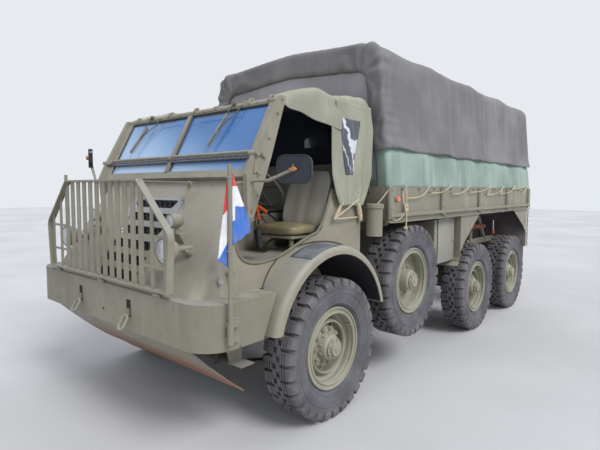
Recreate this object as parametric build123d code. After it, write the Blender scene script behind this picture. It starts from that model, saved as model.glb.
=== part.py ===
from build123d import *
import os
from math import cos, sin, tan, atan2, hypot, radians

# Six-wheeled military cargo truck with two raised helper wheels and a canvas top.
# Millimetres. +x is the truck's left side, +y runs to the rear and z is height above the ground.
# The pieces are drawn from the front axle (y = 0) and written with the middle of the truck at y = 0.

# Overall layout
ORIGIN_Y = 1971.0
TRACK_HALF = 1050.0
REAR_AXLE_Y = 2830.0
BOGIE_SPREAD = 1360.0
HELPER_Y = 1190.0
HELPER_Z = 820.0

# Tyre and rim
TYRE_R = 505.0
TYRE_HALF_WIDTH = 130.0
RIM_SEAT_R = 254.0
RIM_FLANGE_R = 298.0
RIM_HALF_WIDTH = 95.0
RIM_WALL = 9.0
FLANGE_WALL = 12.0
DISC_WALL = 12.0
DISC_X = -10.0
HUB_R = 105.0
HUB_CAP_R = 58.0
HUB_CAP_X = 128.0
HUB_FLANGE_R = 150.0
DRUM_R = 205.0
DRUM_WALL = 14.0
SPINDLE_R = 38.0
SEAT_GAP = 0.3
MOVING_GAP = 5.0

# Chassis
RAIL_X = 430.0
RAIL_FLANGE = 70.0
RAIL_TOP = 990.0
RAIL_DEPTH = 200.0
RAIL_WALL = 8.0
RAIL_REAR_Y = 4985.0
CROSS_MEMBER_R = 45.0

# Front suspension and steering
KINGPIN_X = 900.0
KINGPIN_R = 18.0
KNUCKLE_R = 60.0
KNUCKLE_HALF = 120.0
YOKE_WALL = 34.0
YOKE_GAP = 1.0
ARM_R = 38.0
TORSION_Y = -400.0
TORSION_R = 45.0
TORSION_HALF = 600.0
BEVEL_BOX_R = 135.0
HALF_SHAFT_R = 30.0

# Bumper, belly plate and guard
BUMPER_HALF = 1120.0
BUMPER_FRONT_Y = -1115.0
BUMPER_REAR_TOP_Y = -560.0
BUMPER_REAR_LOW_Y = -680.0
BUMPER_LOW = 730.0
BUMPER_TOP = 1000.0
BUMPER_CORNER_R = 200.0
BUMPER_WALL = 6.0
BUMPER_SHELF = 200.0
SHACKLE_X = 335.0
SLOT_HALF = 27.0
SLOT_LOW = 820.0
SLOT_TOP = 930.0
LINK_BEND = 28.0
LINK_BAR_R = 9.0
LINK_REACH = 38.0
HEADLAMP_X = 664.0
HEADLAMP_Y = -1070.0
HEADLAMP_Z = 1265.0
HEADLAMP_R = 78.0
BULLET_X = 520.0
BULLET_Y = -870.0
BULLET_Z = 1433.0
BULLET_R = 48.0
WEDGE_TOP = 1350.0
WEDGE_LOW = 1285.0
WEDGE_HALF = 62.0
BELLY_HALF = 895.0
BELLY_REAR_Y = -640.0
BELLY_REAR_Z = 330.0
BELLY_MIDDLE = (-900.0, 550.0)
BELLY_WALL = 6.0
GUARD_Y = BUMPER_FRONT_Y - 5
GUARD_LOW_HALF = 800.0
GUARD_SHOULDER_HALF = 830.0
GUARD_SHOULDER_R = 80.0
GUARD_SHOULDER_Z = 1375.0
GUARD_TOP_HALF = 495.0
GUARD_TOP = 1697.0
GUARD_WALL = 6.0
SLAT_COUNT = 12
SLAT_PITCH = 92.5
SLAT_WIDTH = 54.0
BAY_BARS = (628.0, 765.0)
TIE_HEIGHTS = (1175.0, 1358.0)
GUARD_PIN_R = 6.0
GUARD_LIFT = 32.0
GUARD_PIN_LIFT = 12.0
POLE_OUT = 30.0
POLE_Y = -965.0
POLE_RIGHT_Y = -855.0
POLE_R = 13.0
POLE_TOP = 1772.0
POLE_RIGHT_TOP = 1755.0
STAY_X = 405.0
STAY_Y = -665.0
STAY_Z = 1684.0
STAY_FOOT_Z = 1480.0

# Cab tub
CAB_LOW = 1000.0
CAB_COWL = 1720.0
CAB_FLOOR = 1150.0
CAB_REAR_Y = 550.0
CAB_REAR_HALF = 1000.0
CAB_NOSE_LOW_HALF = 935.0
CAB_NOSE_COWL_HALF = 885.0
CAB_NOSE_LOW_Y = -1050.0
CAB_NOSE_COWL_Y = -565.0
CAB_CORNER_R = 85.0
CAB_WALL = 5.0
CAB_SIDE_TOP = 1640.0
CAB_BACK_TOP = 1850.0
ARCH_Z = 585.0
ARCH_R = 600.0
ARCH_INNER_X = 630.0
FENDER_OUT_X = 1190.0
FENDER_CROWN = 660.0
FENDER_LOW = 740.0
FENDER_WALL = 5.0
ENGINE_HALF = 280.0
ENGINE_FRONT_Y = -430.0
ENGINE_REAR_Y = 330.0
ENGINE_LOW = 720.0
ENGINE_TOP = 1400.0
COVER_GAP = 60.0

# Nose panel and vents
VENT_COUNT = 6
VENT_TOP_Z = 1525.0
VENT_PITCH = 95.0
VENT_HALF = 280.0
VENT_HEIGHT = 56.0
VENT_MARGIN = 14.0
NOSE_PANEL_HALF = 330.0
NOSE_PANEL_WALL = 4.0
MESH_PITCH = 45.0
MESH_BAR = 7.0
MESH_WALL = 4.0
MESH_RIM = 6.0

# Windscreen
SCREEN_LOW = (-592.0, 1735.0)
SCREEN_TOP = (-330.0, 2240.0)
SCREEN_MID_SHARE = 0.235
SCREEN_LOW_HALF = 915.0
SCREEN_TOP_HALF = 925.0
SCREEN_BAR = 40.0
SCREEN_STILE = 60.0
SCREEN_EDGE = 22.0
SCREEN_FOOT_DROP = 30.0
PILLAR_WALL = 36.0
PILLAR_FOOT = (908.0, 1426.0)
PILLAR_TOP = (940.0, 2250.0)
MIRROR_WIDTH = 220.0
MIRROR_HEIGHT = 170.0
MIRROR_CORNER_R = 50.0
MIRROR_WALL = 26.0
MIRROR_TURN = 24.0
GLASS_WALL = 6.0

# Cab canvas and seats
CANVAS_HALF = 1005.0
CURTAIN_WALL = 44.0
CANVAS_SKIRT = 2110.0
CANVAS_WALL = 12.0
CANVAS_REAR_Y = 690.0
CANVAS_CROWN = 2400.0
SEAT_X = 690.0
SEAT_HALF = 215.0
SEAT_TOP = 1385.0
SEAT_WALL = 85.0
SEAT_FRONT_Y = -170.0
SEAT_REAR_Y = 150.0
SEAT_BACK_TOP = (290.0, 1785.0)
SEAT_BACK_WALL = 55.0

# Load bed
BED_FRONT_Y = 780.0
STAKE_PITCH = 1045.0
STAKE_COUNT = 5
BED_HALF = 1120.0
BED_FLOOR_LOW = 1360.0
BED_FLOOR_WALL = 25.0
BED_RAIL_TOP = 1440.0
BED_RAIL_OUT = 35.0
BED_SIDE_TOP = 1665.0
BED_SIDE_WALL = 25.0
ROPE_R = 6.0
HOOK_OUT = 24.0
HOOK_Z = 1640.0
HOOK_SHARES = (0.19, 0.5, 0.81)
BEARER_DEPTH = 70.0
GATE_WALL = 30.0
GATE_PIN_R = 8.0
GATE_HINGE_X = 700.0
STAKE_Y = BED_FRONT_Y + 30
BED_REAR_Y = STAKE_Y + 30 + (STAKE_COUNT - 1) * STAKE_PITCH
GATE_Y = BED_REAR_Y + GATE_WALL + MOVING_GAP
GATE_AXIS_Y = GATE_Y + 15
GATE_AXIS_Z = BED_RAIL_TOP - 10

# Canopy
CANOPY_SILL = 1675.0
CANOPY_EAVE = 2875.0
CANOPY_RIDGE = 2940.0
CANOPY_SILL_HALF = BED_HALF + 12
CANOPY_EAVE_HALF = 1035.0
CANOPY_CORNER_R = 160.0
CANOPY_CREST_R = 900.0
CANOPY_WALL = 12.0
CANOPY_FRONT_Y = 765.0
CANOPY_REAR_Y = 5040.0
CANOPY_SPLIT = 1985.0
CANOPY_LAP = 60.0
CANOPY_FACE = 140.0
HOOP_BAR = 30.0

# Under the bed
SPRING_X = 700.0
BEAM_X = 800.0
TOW_BORE_R = 20.0
AXLE_NOSE = 170.0
TRUNNION_Z = 700.0
SPRING_CREST = 900.0
SPRING_END_Z = 660.0
LEAF_WALL = 16.0
LEAF_COUNT = 5
BOX_OUT_X = 1060.0
MUDGUARD_R = 600.0
MUDGUARD_Y = REAR_AXLE_Y - MUDGUARD_R + 130


def box(x0, x1, y0, y1, z0, z1):
    """A block between two corners."""
    middle = Pos((x0 + x1) / 2, (y0 + y1) / 2, (z0 + z1) / 2)
    return middle * Box(abs(x1 - x0), abs(y1 - y0), abs(z1 - z0))


def rod(start, end, radius):
    """A round bar between two points."""
    line = Vector(*end) - Vector(*start)
    place = Plane(origin=start, z_dir=line)
    return place * extrude(Circle(radius), line.length)


def flat(start, end, width, wall, facing):
    """A flat strip between two points, its thin side along facing."""
    line = Vector(*end) - Vector(*start)
    across = line.cross(Vector(*facing)).normalized()
    place = Plane(origin=start, x_dir=across, z_dir=line)
    return place * extrude(Rectangle(width, wall), line.length)


def side_plate(x0, x1, outline):
    """A plate with a side-view outline of (y, z) corners, from x0 to x1."""
    place = Plane(origin=(x0, 0, 0), x_dir=(0, 1, 0), z_dir=(1, 0, 0))
    return place * extrude(make_face(Polyline(*outline, close=True)), x1 - x0)


def side_face(x0, x1, face):
    """A drawn side-view face given a thickness from x0 to x1."""
    place = Plane(origin=(x0, 0, 0), x_dir=(0, 1, 0), z_dir=(1, 0, 0))
    return place * extrude(face, x1 - x0)


def front_face(y0, y1, face):
    """A drawn front-view face of (x, z) given a thickness from y0 to y1."""
    place = Plane(origin=(0, y1, 0), x_dir=(1, 0, 0), z_dir=(0, -1, 0))
    return place * extrude(face, y1 - y0)


def other_side(shape):
    """The same shape on the right-hand side."""
    return mirror(shape, about=Plane.YZ)


def pair(shapes):
    """Each shape and its twin on the other side."""
    found = []
    for shape in shapes:
        found.append(shape)
        found.append(other_side(shape))
    return found


def save(node, shapes):
    """Writes one sub-part, moved from the front axle's frame to the truck's middle."""
    solids = [solid for shape in shapes for solid in shape.solids()]
    whole = Compound(children=[Pos(0, -ORIGIN_Y, 0) * solid for solid in solids])
    export_step(whole, f"parts/{node}.step")


def about_x(outline):
    """A ring about the x axis from (x, radius) corners."""
    return revolve(make_face(Polyline(*outline, close=True)), Axis.X, 360)


def tyre():
    """A tyre out to its lug tips, centred on its own axle."""
    bead = RIM_SEAT_R + SEAT_GAP
    bead_x = RIM_HALF_WIDTH - FLANGE_WALL - SEAT_GAP
    flange = RIM_FLANGE_R + SEAT_GAP
    half = [
        (bead_x, bead),
        (bead_x, flange),
        (TYRE_HALF_WIDTH - 12, flange + 35),
        (TYRE_HALF_WIDTH, (flange + TYRE_R) / 2),
        (TYRE_HALF_WIDTH - 6, TYRE_R - 22),
        (TYRE_HALF_WIDTH - 24, TYRE_R),
    ]
    return about_x(half + [(-x, r) for x, r in reversed(half)])


def rim(side, dished, drum):
    """A wheel with its disc, hub and brake drum, outer face towards +x on side 1."""
    inside = RIM_SEAT_R - RIM_WALL
    end = RIM_HALF_WIDTH
    barrel = about_x([(-end, inside), (-end, RIM_FLANGE_R), (FLANGE_WALL - end, RIM_FLANGE_R),
                      (FLANGE_WALL - end, RIM_SEAT_R), (end - FLANGE_WALL, RIM_SEAT_R),
                      (end - FLANGE_WALL, RIM_FLANGE_R), (end, RIM_FLANGE_R), (end, inside + 12),
                      (end - 30, inside)])
    cone_x = DISC_X + (45 if dished else 15)
    disc = about_x([(cone_x, inside + 1), (cone_x - DISC_WALL, inside + 1),
                    (DISC_X - DISC_WALL, HUB_FLANGE_R + 30), (DISC_X - DISC_WALL, SPINDLE_R + SEAT_GAP),
                    (DISC_X, SPINDLE_R + SEAT_GAP), (DISC_X, HUB_FLANGE_R + 30)])
    flange_x = DISC_X + (26 if dished else 8)
    nose_x = HUB_CAP_X - (30 if dished else 22)
    hub = about_x([(-end, SPINDLE_R + SEAT_GAP), (-end, HUB_R - 30), (DISC_X - DISC_WALL, HUB_R - 30),
                   (DISC_X - DISC_WALL, HUB_FLANGE_R), (flange_x, HUB_FLANGE_R), (flange_x + 12, HUB_R),
                   (nose_x - 20, HUB_R - 14), (nose_x, HUB_CAP_R + 8), (nose_x, HUB_CAP_R),
                   (HUB_CAP_X, HUB_CAP_R - 6), (HUB_CAP_X, 0), (40, 0), (40, SPINDLE_R + SEAT_GAP)])
    whole = barrel + disc + hub
    if drum:
        back = DISC_X - DISC_WALL
        shell = about_x([(-end, DRUM_R - DRUM_WALL), (-end, DRUM_R), (back, DRUM_R),
                         (back, HUB_R - 40), (back - 10, HUB_R - 40), (back - 10, DRUM_R - DRUM_WALL)])
        whole = whole + shell
    if side < 0:
        whole = other_side(whole)
    return whole


def wheels():
    """Every tyre and rim: name, side, y, z, dished disc, brake drum."""
    table = [
        ("front_left", 1, 0.0, TYRE_R, True, True),
        ("front_right", -1, 0.0, TYRE_R, True, True),
        ("helper_left", 1, HELPER_Y, HELPER_Z, False, False),
        ("helper_right", -1, HELPER_Y, HELPER_Z, False, False),
        ("middle_left", 1, REAR_AXLE_Y, TYRE_R, True, True),
        ("middle_right", -1, REAR_AXLE_Y, TYRE_R, True, True),
        ("rear_left", 1, REAR_AXLE_Y + BOGIE_SPREAD, TYRE_R, True, True),
        ("rear_right", -1, REAR_AXLE_Y + BOGIE_SPREAD, TYRE_R, True, True),
    ]
    for name, side, y, z, dished, drum in table:
        place = Pos(side * TRACK_HALF, y, z)
        save(f"tyre_{name}", [place * tyre()])
        save(f"rim_{name}", [place * rim(side, dished, drum)])


def spindle(z, y, inner_x):
    """A stub axle into a left wheel's hub, with the brake back plate."""
    tip = TRACK_HALF + 34
    plate_x = TRACK_HALF - RIM_HALF_WIDTH - MOVING_GAP
    stub = rod((inner_x, y, z), (tip, y, z), SPINDLE_R)
    plate = rod((plate_x - 6, y, z), (plate_x, y, z), DRUM_R - 8)
    return stub + plate


def knuckle():
    """The left steering knuckle with its kingpin and spindle."""
    z = TYRE_R
    reach = KNUCKLE_HALF + YOKE_GAP + YOKE_WALL - 4
    body = rod((KINGPIN_X, 0, z - KNUCKLE_HALF), (KINGPIN_X, 0, z + KNUCKLE_HALF), KNUCKLE_R - 18)
    ball = Pos(KINGPIN_X, 0, z) * Sphere(KNUCKLE_R)
    pin = rod((KINGPIN_X, 0, z - reach), (KINGPIN_X, 0, z + reach), KINGPIN_R)
    return body + ball + pin + spindle(z, 0.0, KINGPIN_X)


def front_suspension():
    """Torsion tubes, trailing arms with kingpin eyes, bevel box, hangers and half shafts."""
    z = TYRE_R
    near = KNUCKLE_HALF + YOKE_GAP
    rail_low = RAIL_TOP - RAIL_DEPTH
    hanger_x = RAIL_X - RAIL_FLANGE / 2
    whole = about_x([(-RAIL_X, 0), (-RAIL_X, 62), (-200, 62), (-70, BEVEL_BOX_R), (70, BEVEL_BOX_R),
                     (200, 62), (RAIL_X, 62), (RAIL_X, 0)])
    whole = Pos(0, 0, z) * whole + rod((0, 0, z + 20), (0, 260, z + 20), 56)
    for side in (1, -1):
        for y, half in [(TORSION_Y, 70), (0.0, 60)]:
            foot = z - near - YOKE_WALL - 20 if y < 0 else z - 50
            whole = whole + box(side * hanger_x - 8, side * hanger_x + 8, y - half, y + half, foot, rail_low)
        shaft_x = KINGPIN_X - KNUCKLE_R - MOVING_GAP
        whole = whole + rod((side * (RAIL_X - 20), 0, z), (side * shaft_x, 0, z), HALF_SHAFT_R)
    for low, high in [(z + near, z + near + YOKE_WALL), (z - near - YOKE_WALL, z - near)]:
        middle = (low + high) / 2
        whole = whole + rod((-TORSION_HALF, TORSION_Y, middle), (TORSION_HALF, TORSION_Y, middle), TORSION_R)
        for side in (1, -1):
            eye_x = side * KINGPIN_X
            eye = rod((eye_x, 0, low), (eye_x, 0, high), ARM_R)
            lever = flat((side * (TORSION_HALF - 30), TORSION_Y, middle), (eye_x - side * 20, -12, middle),
                         56, high - low, (0, 0, 1))
            hole = rod((eye_x, 0, low - 1), (eye_x, 0, high + 1), KINGPIN_R + SEAT_GAP)
            whole = whole + eye + lever - hole
    return [whole]


def chassis():
    """Two channel rails and their cross members."""
    front_y = BUMPER_FRONT_Y + BUMPER_WALL
    low = RAIL_TOP - RAIL_DEPTH
    outer = box(RAIL_X - RAIL_FLANGE, RAIL_X, front_y, RAIL_REAR_Y, low, RAIL_TOP)
    hollow = box(RAIL_X - RAIL_FLANGE - 1, RAIL_X - RAIL_WALL, front_y - 1, RAIL_REAR_Y + 1,
                 low + RAIL_WALL, RAIL_TOP - RAIL_WALL)
    left = outer - hollow
    whole = left + other_side(left)
    inner = RAIL_X - RAIL_WALL / 2
    for y in (-720.0, 620.0, 2350.0, 3510.0, 4400.0):
        whole = whole + rod((-inner, y, low + 100), (inner, y, low + 100), CROSS_MEMBER_R)
    end = box(-inner, inner, RAIL_REAR_Y - 10, RAIL_REAR_Y, low, RAIL_TOP)
    for side in (1, -1):
        for y in (-300.0, 200.0):
            whole = whole + box(side * ENGINE_HALF, side * inner, y - 40, y + 40, low + RAIL_WALL, low + 40)
    return whole + end


def bumper_plan(inset):
    """The bumper's outline from above, drawn in by inset."""
    corner = BUMPER_CORNER_R - inset
    half = BUMPER_HALF - inset
    front = BUMPER_FRONT_Y + inset
    face = make_face(Polyline((-half, front), (half, front), (half, BUMPER_REAR_TOP_Y),
                              (-half, BUMPER_REAR_TOP_Y), close=True))
    return fillet(face.vertices().sort_by(Axis.Y)[:2], corner)


def bumper():
    """The wrap-round bumper, open below, with a shelf round the nose and two shackle slots."""
    height = BUMPER_TOP - BUMPER_LOW
    outer = Pos(0, 0, BUMPER_LOW) * extrude(bumper_plan(0), height)
    inner = Pos(0, 0, BUMPER_LOW - 1) * extrude(bumper_plan(BUMPER_WALL), height - BUMPER_WALL + 1)
    shell = outer - inner
    shell = shell - box(BUMPER_SHELF - BUMPER_HALF, BUMPER_HALF - BUMPER_SHELF,
                        BUMPER_FRONT_Y + 110, BUMPER_REAR_TOP_Y + 1, BUMPER_TOP - 20, BUMPER_TOP + 1)
    shell = shell - box(-BUMPER_HALF + BUMPER_WALL, BUMPER_HALF - BUMPER_WALL, BUMPER_REAR_TOP_Y - 20,
                        BUMPER_REAR_TOP_Y + 1, BUMPER_LOW - 1, BUMPER_TOP - BUMPER_WALL)
    slant = side_plate(-BUMPER_HALF - 1, BUMPER_HALF + 1,
                       [(BUMPER_REAR_TOP_Y, BUMPER_TOP), (BUMPER_REAR_TOP_Y + 5, BUMPER_LOW - 1),
                        (BUMPER_REAR_LOW_Y, BUMPER_LOW - 1), (BUMPER_REAR_LOW_Y, BUMPER_LOW)])
    shell = shell - slant
    for side in (1, -1):
        shell = shell - box(side * SHACKLE_X - SLOT_HALF, side * SHACKLE_X + SLOT_HALF, BUMPER_FRONT_Y - 1,
                            BUMPER_FRONT_Y + BUMPER_WALL + 1, SLOT_LOW, SLOT_TOP)
    return shell


def step_plates():
    """The step hung under the bumper's left end."""
    x = BUMPER_HALF - 190
    shelf = BUMPER_TOP - BUMPER_WALL
    hanger = side_plate(x, x + 6, [(-840, shelf), (-690, shelf), (-690, 575), (-790, 575), (-840, 740)])
    tread = box(x, x + 120, -800, -690, 569, 575)
    return hanger + tread


def shackles():
    """Two oval tow links hanging from the tongues in their slots."""
    found = []
    bend = Torus(LINK_BEND, LINK_BAR_R, major_angle=180)
    link = Pos(0, LINK_REACH, 0) * bend + Pos(0, -LINK_REACH, 0) * Rot(0, 0, 180) * bend
    for x in (-LINK_BEND, LINK_BEND):
        link = link + rod((x, -LINK_REACH, 0), (x, LINK_REACH, 0), LINK_BAR_R)
    for side in (1, -1):
        x = side * SHACKLE_X
        place = Plane(origin=(x, BUMPER_FRONT_Y - 40, SLOT_LOW - 30), x_dir=(1, 0, 0), z_dir=(0, -0.864, 0.504))
        tongue = box(x - 10, x + 10, BUMPER_FRONT_Y - 20, BUMPER_FRONT_Y + 30, SLOT_LOW + 8, SLOT_LOW + 52)
        pad = box(x - 14, x + 14, BUMPER_FRONT_Y + BUMPER_WALL, BUMPER_FRONT_Y + 30, SLOT_LOW - 8, SLOT_TOP + 8)
        found.append(place * link + tongue + pad)
    return found


def belly_plate():
    """The curved skid plate under the nose."""
    top = (BUMPER_FRONT_Y + 30, BUMPER_LOW)
    middle = BELLY_MIDDLE
    low = (BELLY_REAR_Y, BELLY_REAR_Z)
    wall = BELLY_WALL
    line = ThreePointArc(top, middle, low)
    back = ThreePointArc((low[0] + wall, low[1] + wall), (middle[0] + wall, middle[1] + wall),
                         (top[0] + wall, top[1] + wall))
    face = make_face([line, Line(low, (low[0] + wall, low[1] + wall)), back,
                      Line((top[0] + wall, top[1] + wall), top)])
    plate = side_face(-BELLY_HALF, BELLY_HALF, face)
    ribs = []
    for side in (1, -1):
        x = side * (RAIL_X - 30)
        rib = side_plate(x - 4, x + 4, [(-1000, RAIL_TOP - RAIL_DEPTH), (-700, RAIL_TOP - RAIL_DEPTH),
                                        (-680, 440), (-760, 430), (-1000, 660)])
        ribs.append(rib)
    under = side_face(-BELLY_HALF - 5, BELLY_HALF + 5,
                      make_face([line, Polyline(low, (low[0], 200), (top[0] - 200, 200),
                                                (top[0] - 200, top[1]), top)]))
    return plate + [rib - under for rib in ribs]


def guard_outline():
    """Half of the guard's outline: base, shoulder and top corner as (x, z)."""
    low = BUMPER_TOP + GUARD_LIFT
    return [(GUARD_LOW_HALF, low), (GUARD_SHOULDER_HALF, GUARD_SHOULDER_Z), (GUARD_TOP_HALF, GUARD_TOP)]


def round_shoulders(face, radius):
    """A guard outline with its two shoulders rounded."""
    corners = [corner for corner in face.vertices() if abs(corner.Y - GUARD_SHOULDER_Z) < 10]
    return fillet(corners, radius)


def brush_guard():
    """The slatted guard with its stays, which folds forward on three base loops."""
    y0 = GUARD_Y
    y1 = GUARD_Y + GUARD_WALL
    base, shoulder, top = guard_outline()
    outline = [(-base[0], base[1]), base, shoulder, top, (-top[0], top[1]), (-shoulder[0], shoulder[1])]
    outer = round_shoulders(make_face(Polyline(*outline, close=True)), GUARD_SHOULDER_R)
    bar = GUARD_WALL + 6
    inner = make_face(Polyline((bar - base[0], base[1] + bar), (base[0] - bar, base[1] + bar),
                               (shoulder[0] - bar, shoulder[1] - 4), (top[0] - 5, top[1] - bar),
                               (5 - top[0], top[1] - bar), (bar - shoulder[0], shoulder[1] - 4), close=True))
    inner = round_shoulders(inner, GUARD_SHOULDER_R - bar)
    frame = front_face(y0 - 20, y0 + 25, outer) - front_face(y0 - 21, y0 + 26, inner)
    whole = frame
    for i in range(SLAT_COUNT):
        x = (i - (SLAT_COUNT - 1) / 2) * SLAT_PITCH
        whole = whole + box(x - SLAT_WIDTH / 2, x + SLAT_WIDTH / 2, y0, y1, base[1], GUARD_TOP - 4)
    for side in (1, -1):
        for x in BAY_BARS:
            whole = whole + box(side * x - 18, side * x + 18, y0, y1, base[1] + 4, GUARD_TOP)
        for z in TIE_HEIGHTS:
            last_slat = SLAT_PITCH * (SLAT_COUNT - 1) / 2
            whole = whole + box(side * last_slat, side * (shoulder[0] - 8), y0, y1, z - 8, z + 8)
    whole = whole & front_face(y0 - 30, y0 + 40, outer)
    for side in (1, -1):
        start = (side * (top[0] - 15), y0 + 3, GUARD_TOP - 12)
        whole = whole + flat(start, (side * (STAY_X + 4), STAY_Y, STAY_Z), 32, GUARD_WALL, (0, 0, 1))
    return whole + guard_knuckles(True)


def stay_brackets():
    """The straps on the nose that the guard's stays are pinned to."""
    found = []
    for side in (1, -1):
        x = side * (STAY_X - 20)
        foot = (x, nose_y(STAY_FOOT_Z) + 20, STAY_FOOT_Z - 10)
        strap = flat(foot, (x, STAY_Y, STAY_Z + 8), 32, GUARD_WALL, (1, 0, 0)) - nose_keep_out()
        found.append(strap)
    return found


def guard_knuckles(moving):
    """Hinge loops at the guard's base, or the pins and ears that carry them."""
    y = GUARD_Y - 4
    z = BUMPER_TOP + GUARD_PIN_LIFT
    loops = []
    for x in (-680.0, 0.0, 680.0):
        if moving:
            loop = rod((x - 25, y, z), (x + 25, y, z), 11)
            web = box(x - 25, x + 25, y, y + 8, z, BUMPER_TOP + GUARD_LIFT + 6)
            loops.append(loop + web - rod((x - 26, y, z), (x + 26, y, z), GUARD_PIN_R + SEAT_GAP))
        else:
            pin = rod((x - 42, y, z), (x + 42, y, z), GUARD_PIN_R)
            ears = box(x - 42, x - 30, y - 8, y + 12, BUMPER_TOP, z + 7) + box(
                x + 30, x + 42, y - 8, y + 12, BUMPER_TOP, z + 7)
            loops.append(pin + ears)
    if not moving:
        return loops
    return loops[0] + loops[1] + loops[2]


def headlamps():
    """Round headlamps on arms from the nose, behind the guard."""
    found = []
    z = HEADLAMP_Z
    for side in (1, -1):
        x = side * HEADLAMP_X
        shell = rod((x, HEADLAMP_Y, z), (x, HEADLAMP_Y + 50, z), HEADLAMP_R)
        shell = shell + rod((x, HEADLAMP_Y + 50, z), (x, HEADLAMP_Y + 80, z), HEADLAMP_R - 22)
        arm = rod((x, HEADLAMP_Y + 60, z), (x, nose_y(z) + 60, z), 20) - nose_keep_out()
        found.append(shell + arm)
    return found


def marker_lamps():
    """Bullet lamps on wedge brackets, body stub lamps, bed side lamps and the lamp under the bed."""
    found = []
    for side in (1, -1):
        x = side * BULLET_X
        y = BULLET_Y
        bullet = Pos(x, y, BULLET_Z) * Sphere(BULLET_R) + rod((x, y - 50, BULLET_Z), (x, y, BULLET_Z), BULLET_R)
        stem = rod((x, y, WEDGE_TOP - 4), (x, y, BULLET_Z), 14)
        wedge = side_plate(x - WEDGE_HALF, x + WEDGE_HALF,
                           [(y - 25, WEDGE_TOP), (nose_y(WEDGE_TOP) + 20, WEDGE_TOP),
                            (nose_y(WEDGE_LOW), WEDGE_LOW)])
        found.append(bullet + stem + wedge - nose_keep_out())
        half = cab_half(-800.0)
        stub = rod((side * (half - 10), -800, 1130), (side * (half + 55), -800, 1130), 17)
        found.append(stub - nose_keep_out())
        out = side * (BED_HALF + BED_RAIL_OUT - 5)
        lamp_y = BED_FRONT_Y + 90
        found.append(rod((side * BED_HALF, lamp_y, 1560), (out + side * 14, lamp_y, 1560), 28))
        found.append(rod((side * 800, RAIL_REAR_Y - 20, 1240), (side * 800, RAIL_REAR_Y + 60, 1240), 42))
        found.append(box(side * 760, side * 840, RAIL_REAR_Y - 26, RAIL_REAR_Y - 20, 1180, 1290))
    return found


def marker_poles():
    """Width poles at the bumper's corners in their bolted sleeves."""
    x = BUMPER_HALF + POLE_OUT
    form = Pos(0, 0, BUMPER_LOW) * extrude(bumper_plan(0), BUMPER_TOP - BUMPER_LOW)
    found = []
    for y, top in [(POLE_Y, POLE_TOP), (POLE_RIGHT_Y, POLE_RIGHT_TOP)]:
        pole = rod((x, y, 790), (x, y, top), POLE_R)
        sleeve = rod((x, y, 780), (x, y, 900), POLE_R + 6)
        lugs = box(x - 130, x, y - 6, y + 62, 870, 900) + box(x - 130, x, y - 6, y + 62, 785, 815)
        found.append(pole + sleeve + (lugs - form))
    return [found[0], other_side(found[1])]


def nose_y(z):
    """The nose's front face at a height."""
    share = (z - CAB_LOW) / (CAB_COWL - CAB_LOW)
    return CAB_NOSE_LOW_Y + share * (CAB_NOSE_COWL_Y - CAB_NOSE_LOW_Y)


def cab_half(y, z=1130.0):
    """The cab side's half width at a place along its length."""
    share = (z - CAB_LOW) / (CAB_COWL - CAB_LOW)
    front = CAB_NOSE_LOW_HALF + share * (CAB_NOSE_COWL_HALF - CAB_NOSE_LOW_HALF)
    along = (y - nose_y(z)) / (CAB_REAR_Y - nose_y(z))
    return front + along * (CAB_REAR_HALF - front)


def cab_section(z, inset):
    """The cab's plan outline at a height, drawn in by inset."""
    share = (z - CAB_LOW) / (CAB_COWL - CAB_LOW)
    front = CAB_NOSE_LOW_HALF + share * (CAB_NOSE_COWL_HALF - CAB_NOSE_LOW_HALF) - inset
    rear = CAB_REAR_HALF - inset
    y0 = nose_y(z) + inset
    y1 = CAB_REAR_Y - inset
    face = make_face(Polyline((-front, y0), (front, y0), (rear, y1), (-rear, y1), close=True))
    face = fillet(face.vertices().sort_by(Axis.Y)[:2], CAB_CORNER_R - inset)
    return Pos(0, 0, z) * face


def cab_form(z0, z1, inset):
    """The cab as a solid between two heights."""
    return loft([cab_section(z0, inset), cab_section(z1, inset)], ruled=True)


def cab_keep_out(grow):
    """The cab's form carried down past the fenders, grown by a wall."""
    skirt = extrude(cab_section(CAB_LOW, -grow), CAB_LOW - BUMPER_LOW, dir=(0, 0, -1))
    half = CAB_REAR_HALF + grow
    behind = box(-half, half, CAB_REAR_Y - 20, CAB_REAR_Y + 200, BUMPER_LOW, CAB_COWL)
    return cab_form(CAB_LOW, CAB_COWL, -grow) + skirt + behind


def nose_keep_out():
    """The cab's solid form, for seating pieces on its outside."""
    return cab_form(CAB_LOW, CAB_COWL, 0)


def door_outline():
    """The scooped door opening as (y, z), open to the roof."""
    corners = [(-470, 2400), (-600, 1460), (-742, 1395), (-700, 1165), (-400, 1165), (-60, 1305),
               (75, 1330), (205, 1660), (205, 2400)]
    radii = [30, 30, 95, 110, 90, 60, 110, 10]
    radii = radii[:len(corners) - 2]
    path = FilletPolyline(*corners, radius=radii)
    return make_face([path, Line(corners[-1], corners[0])])


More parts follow.
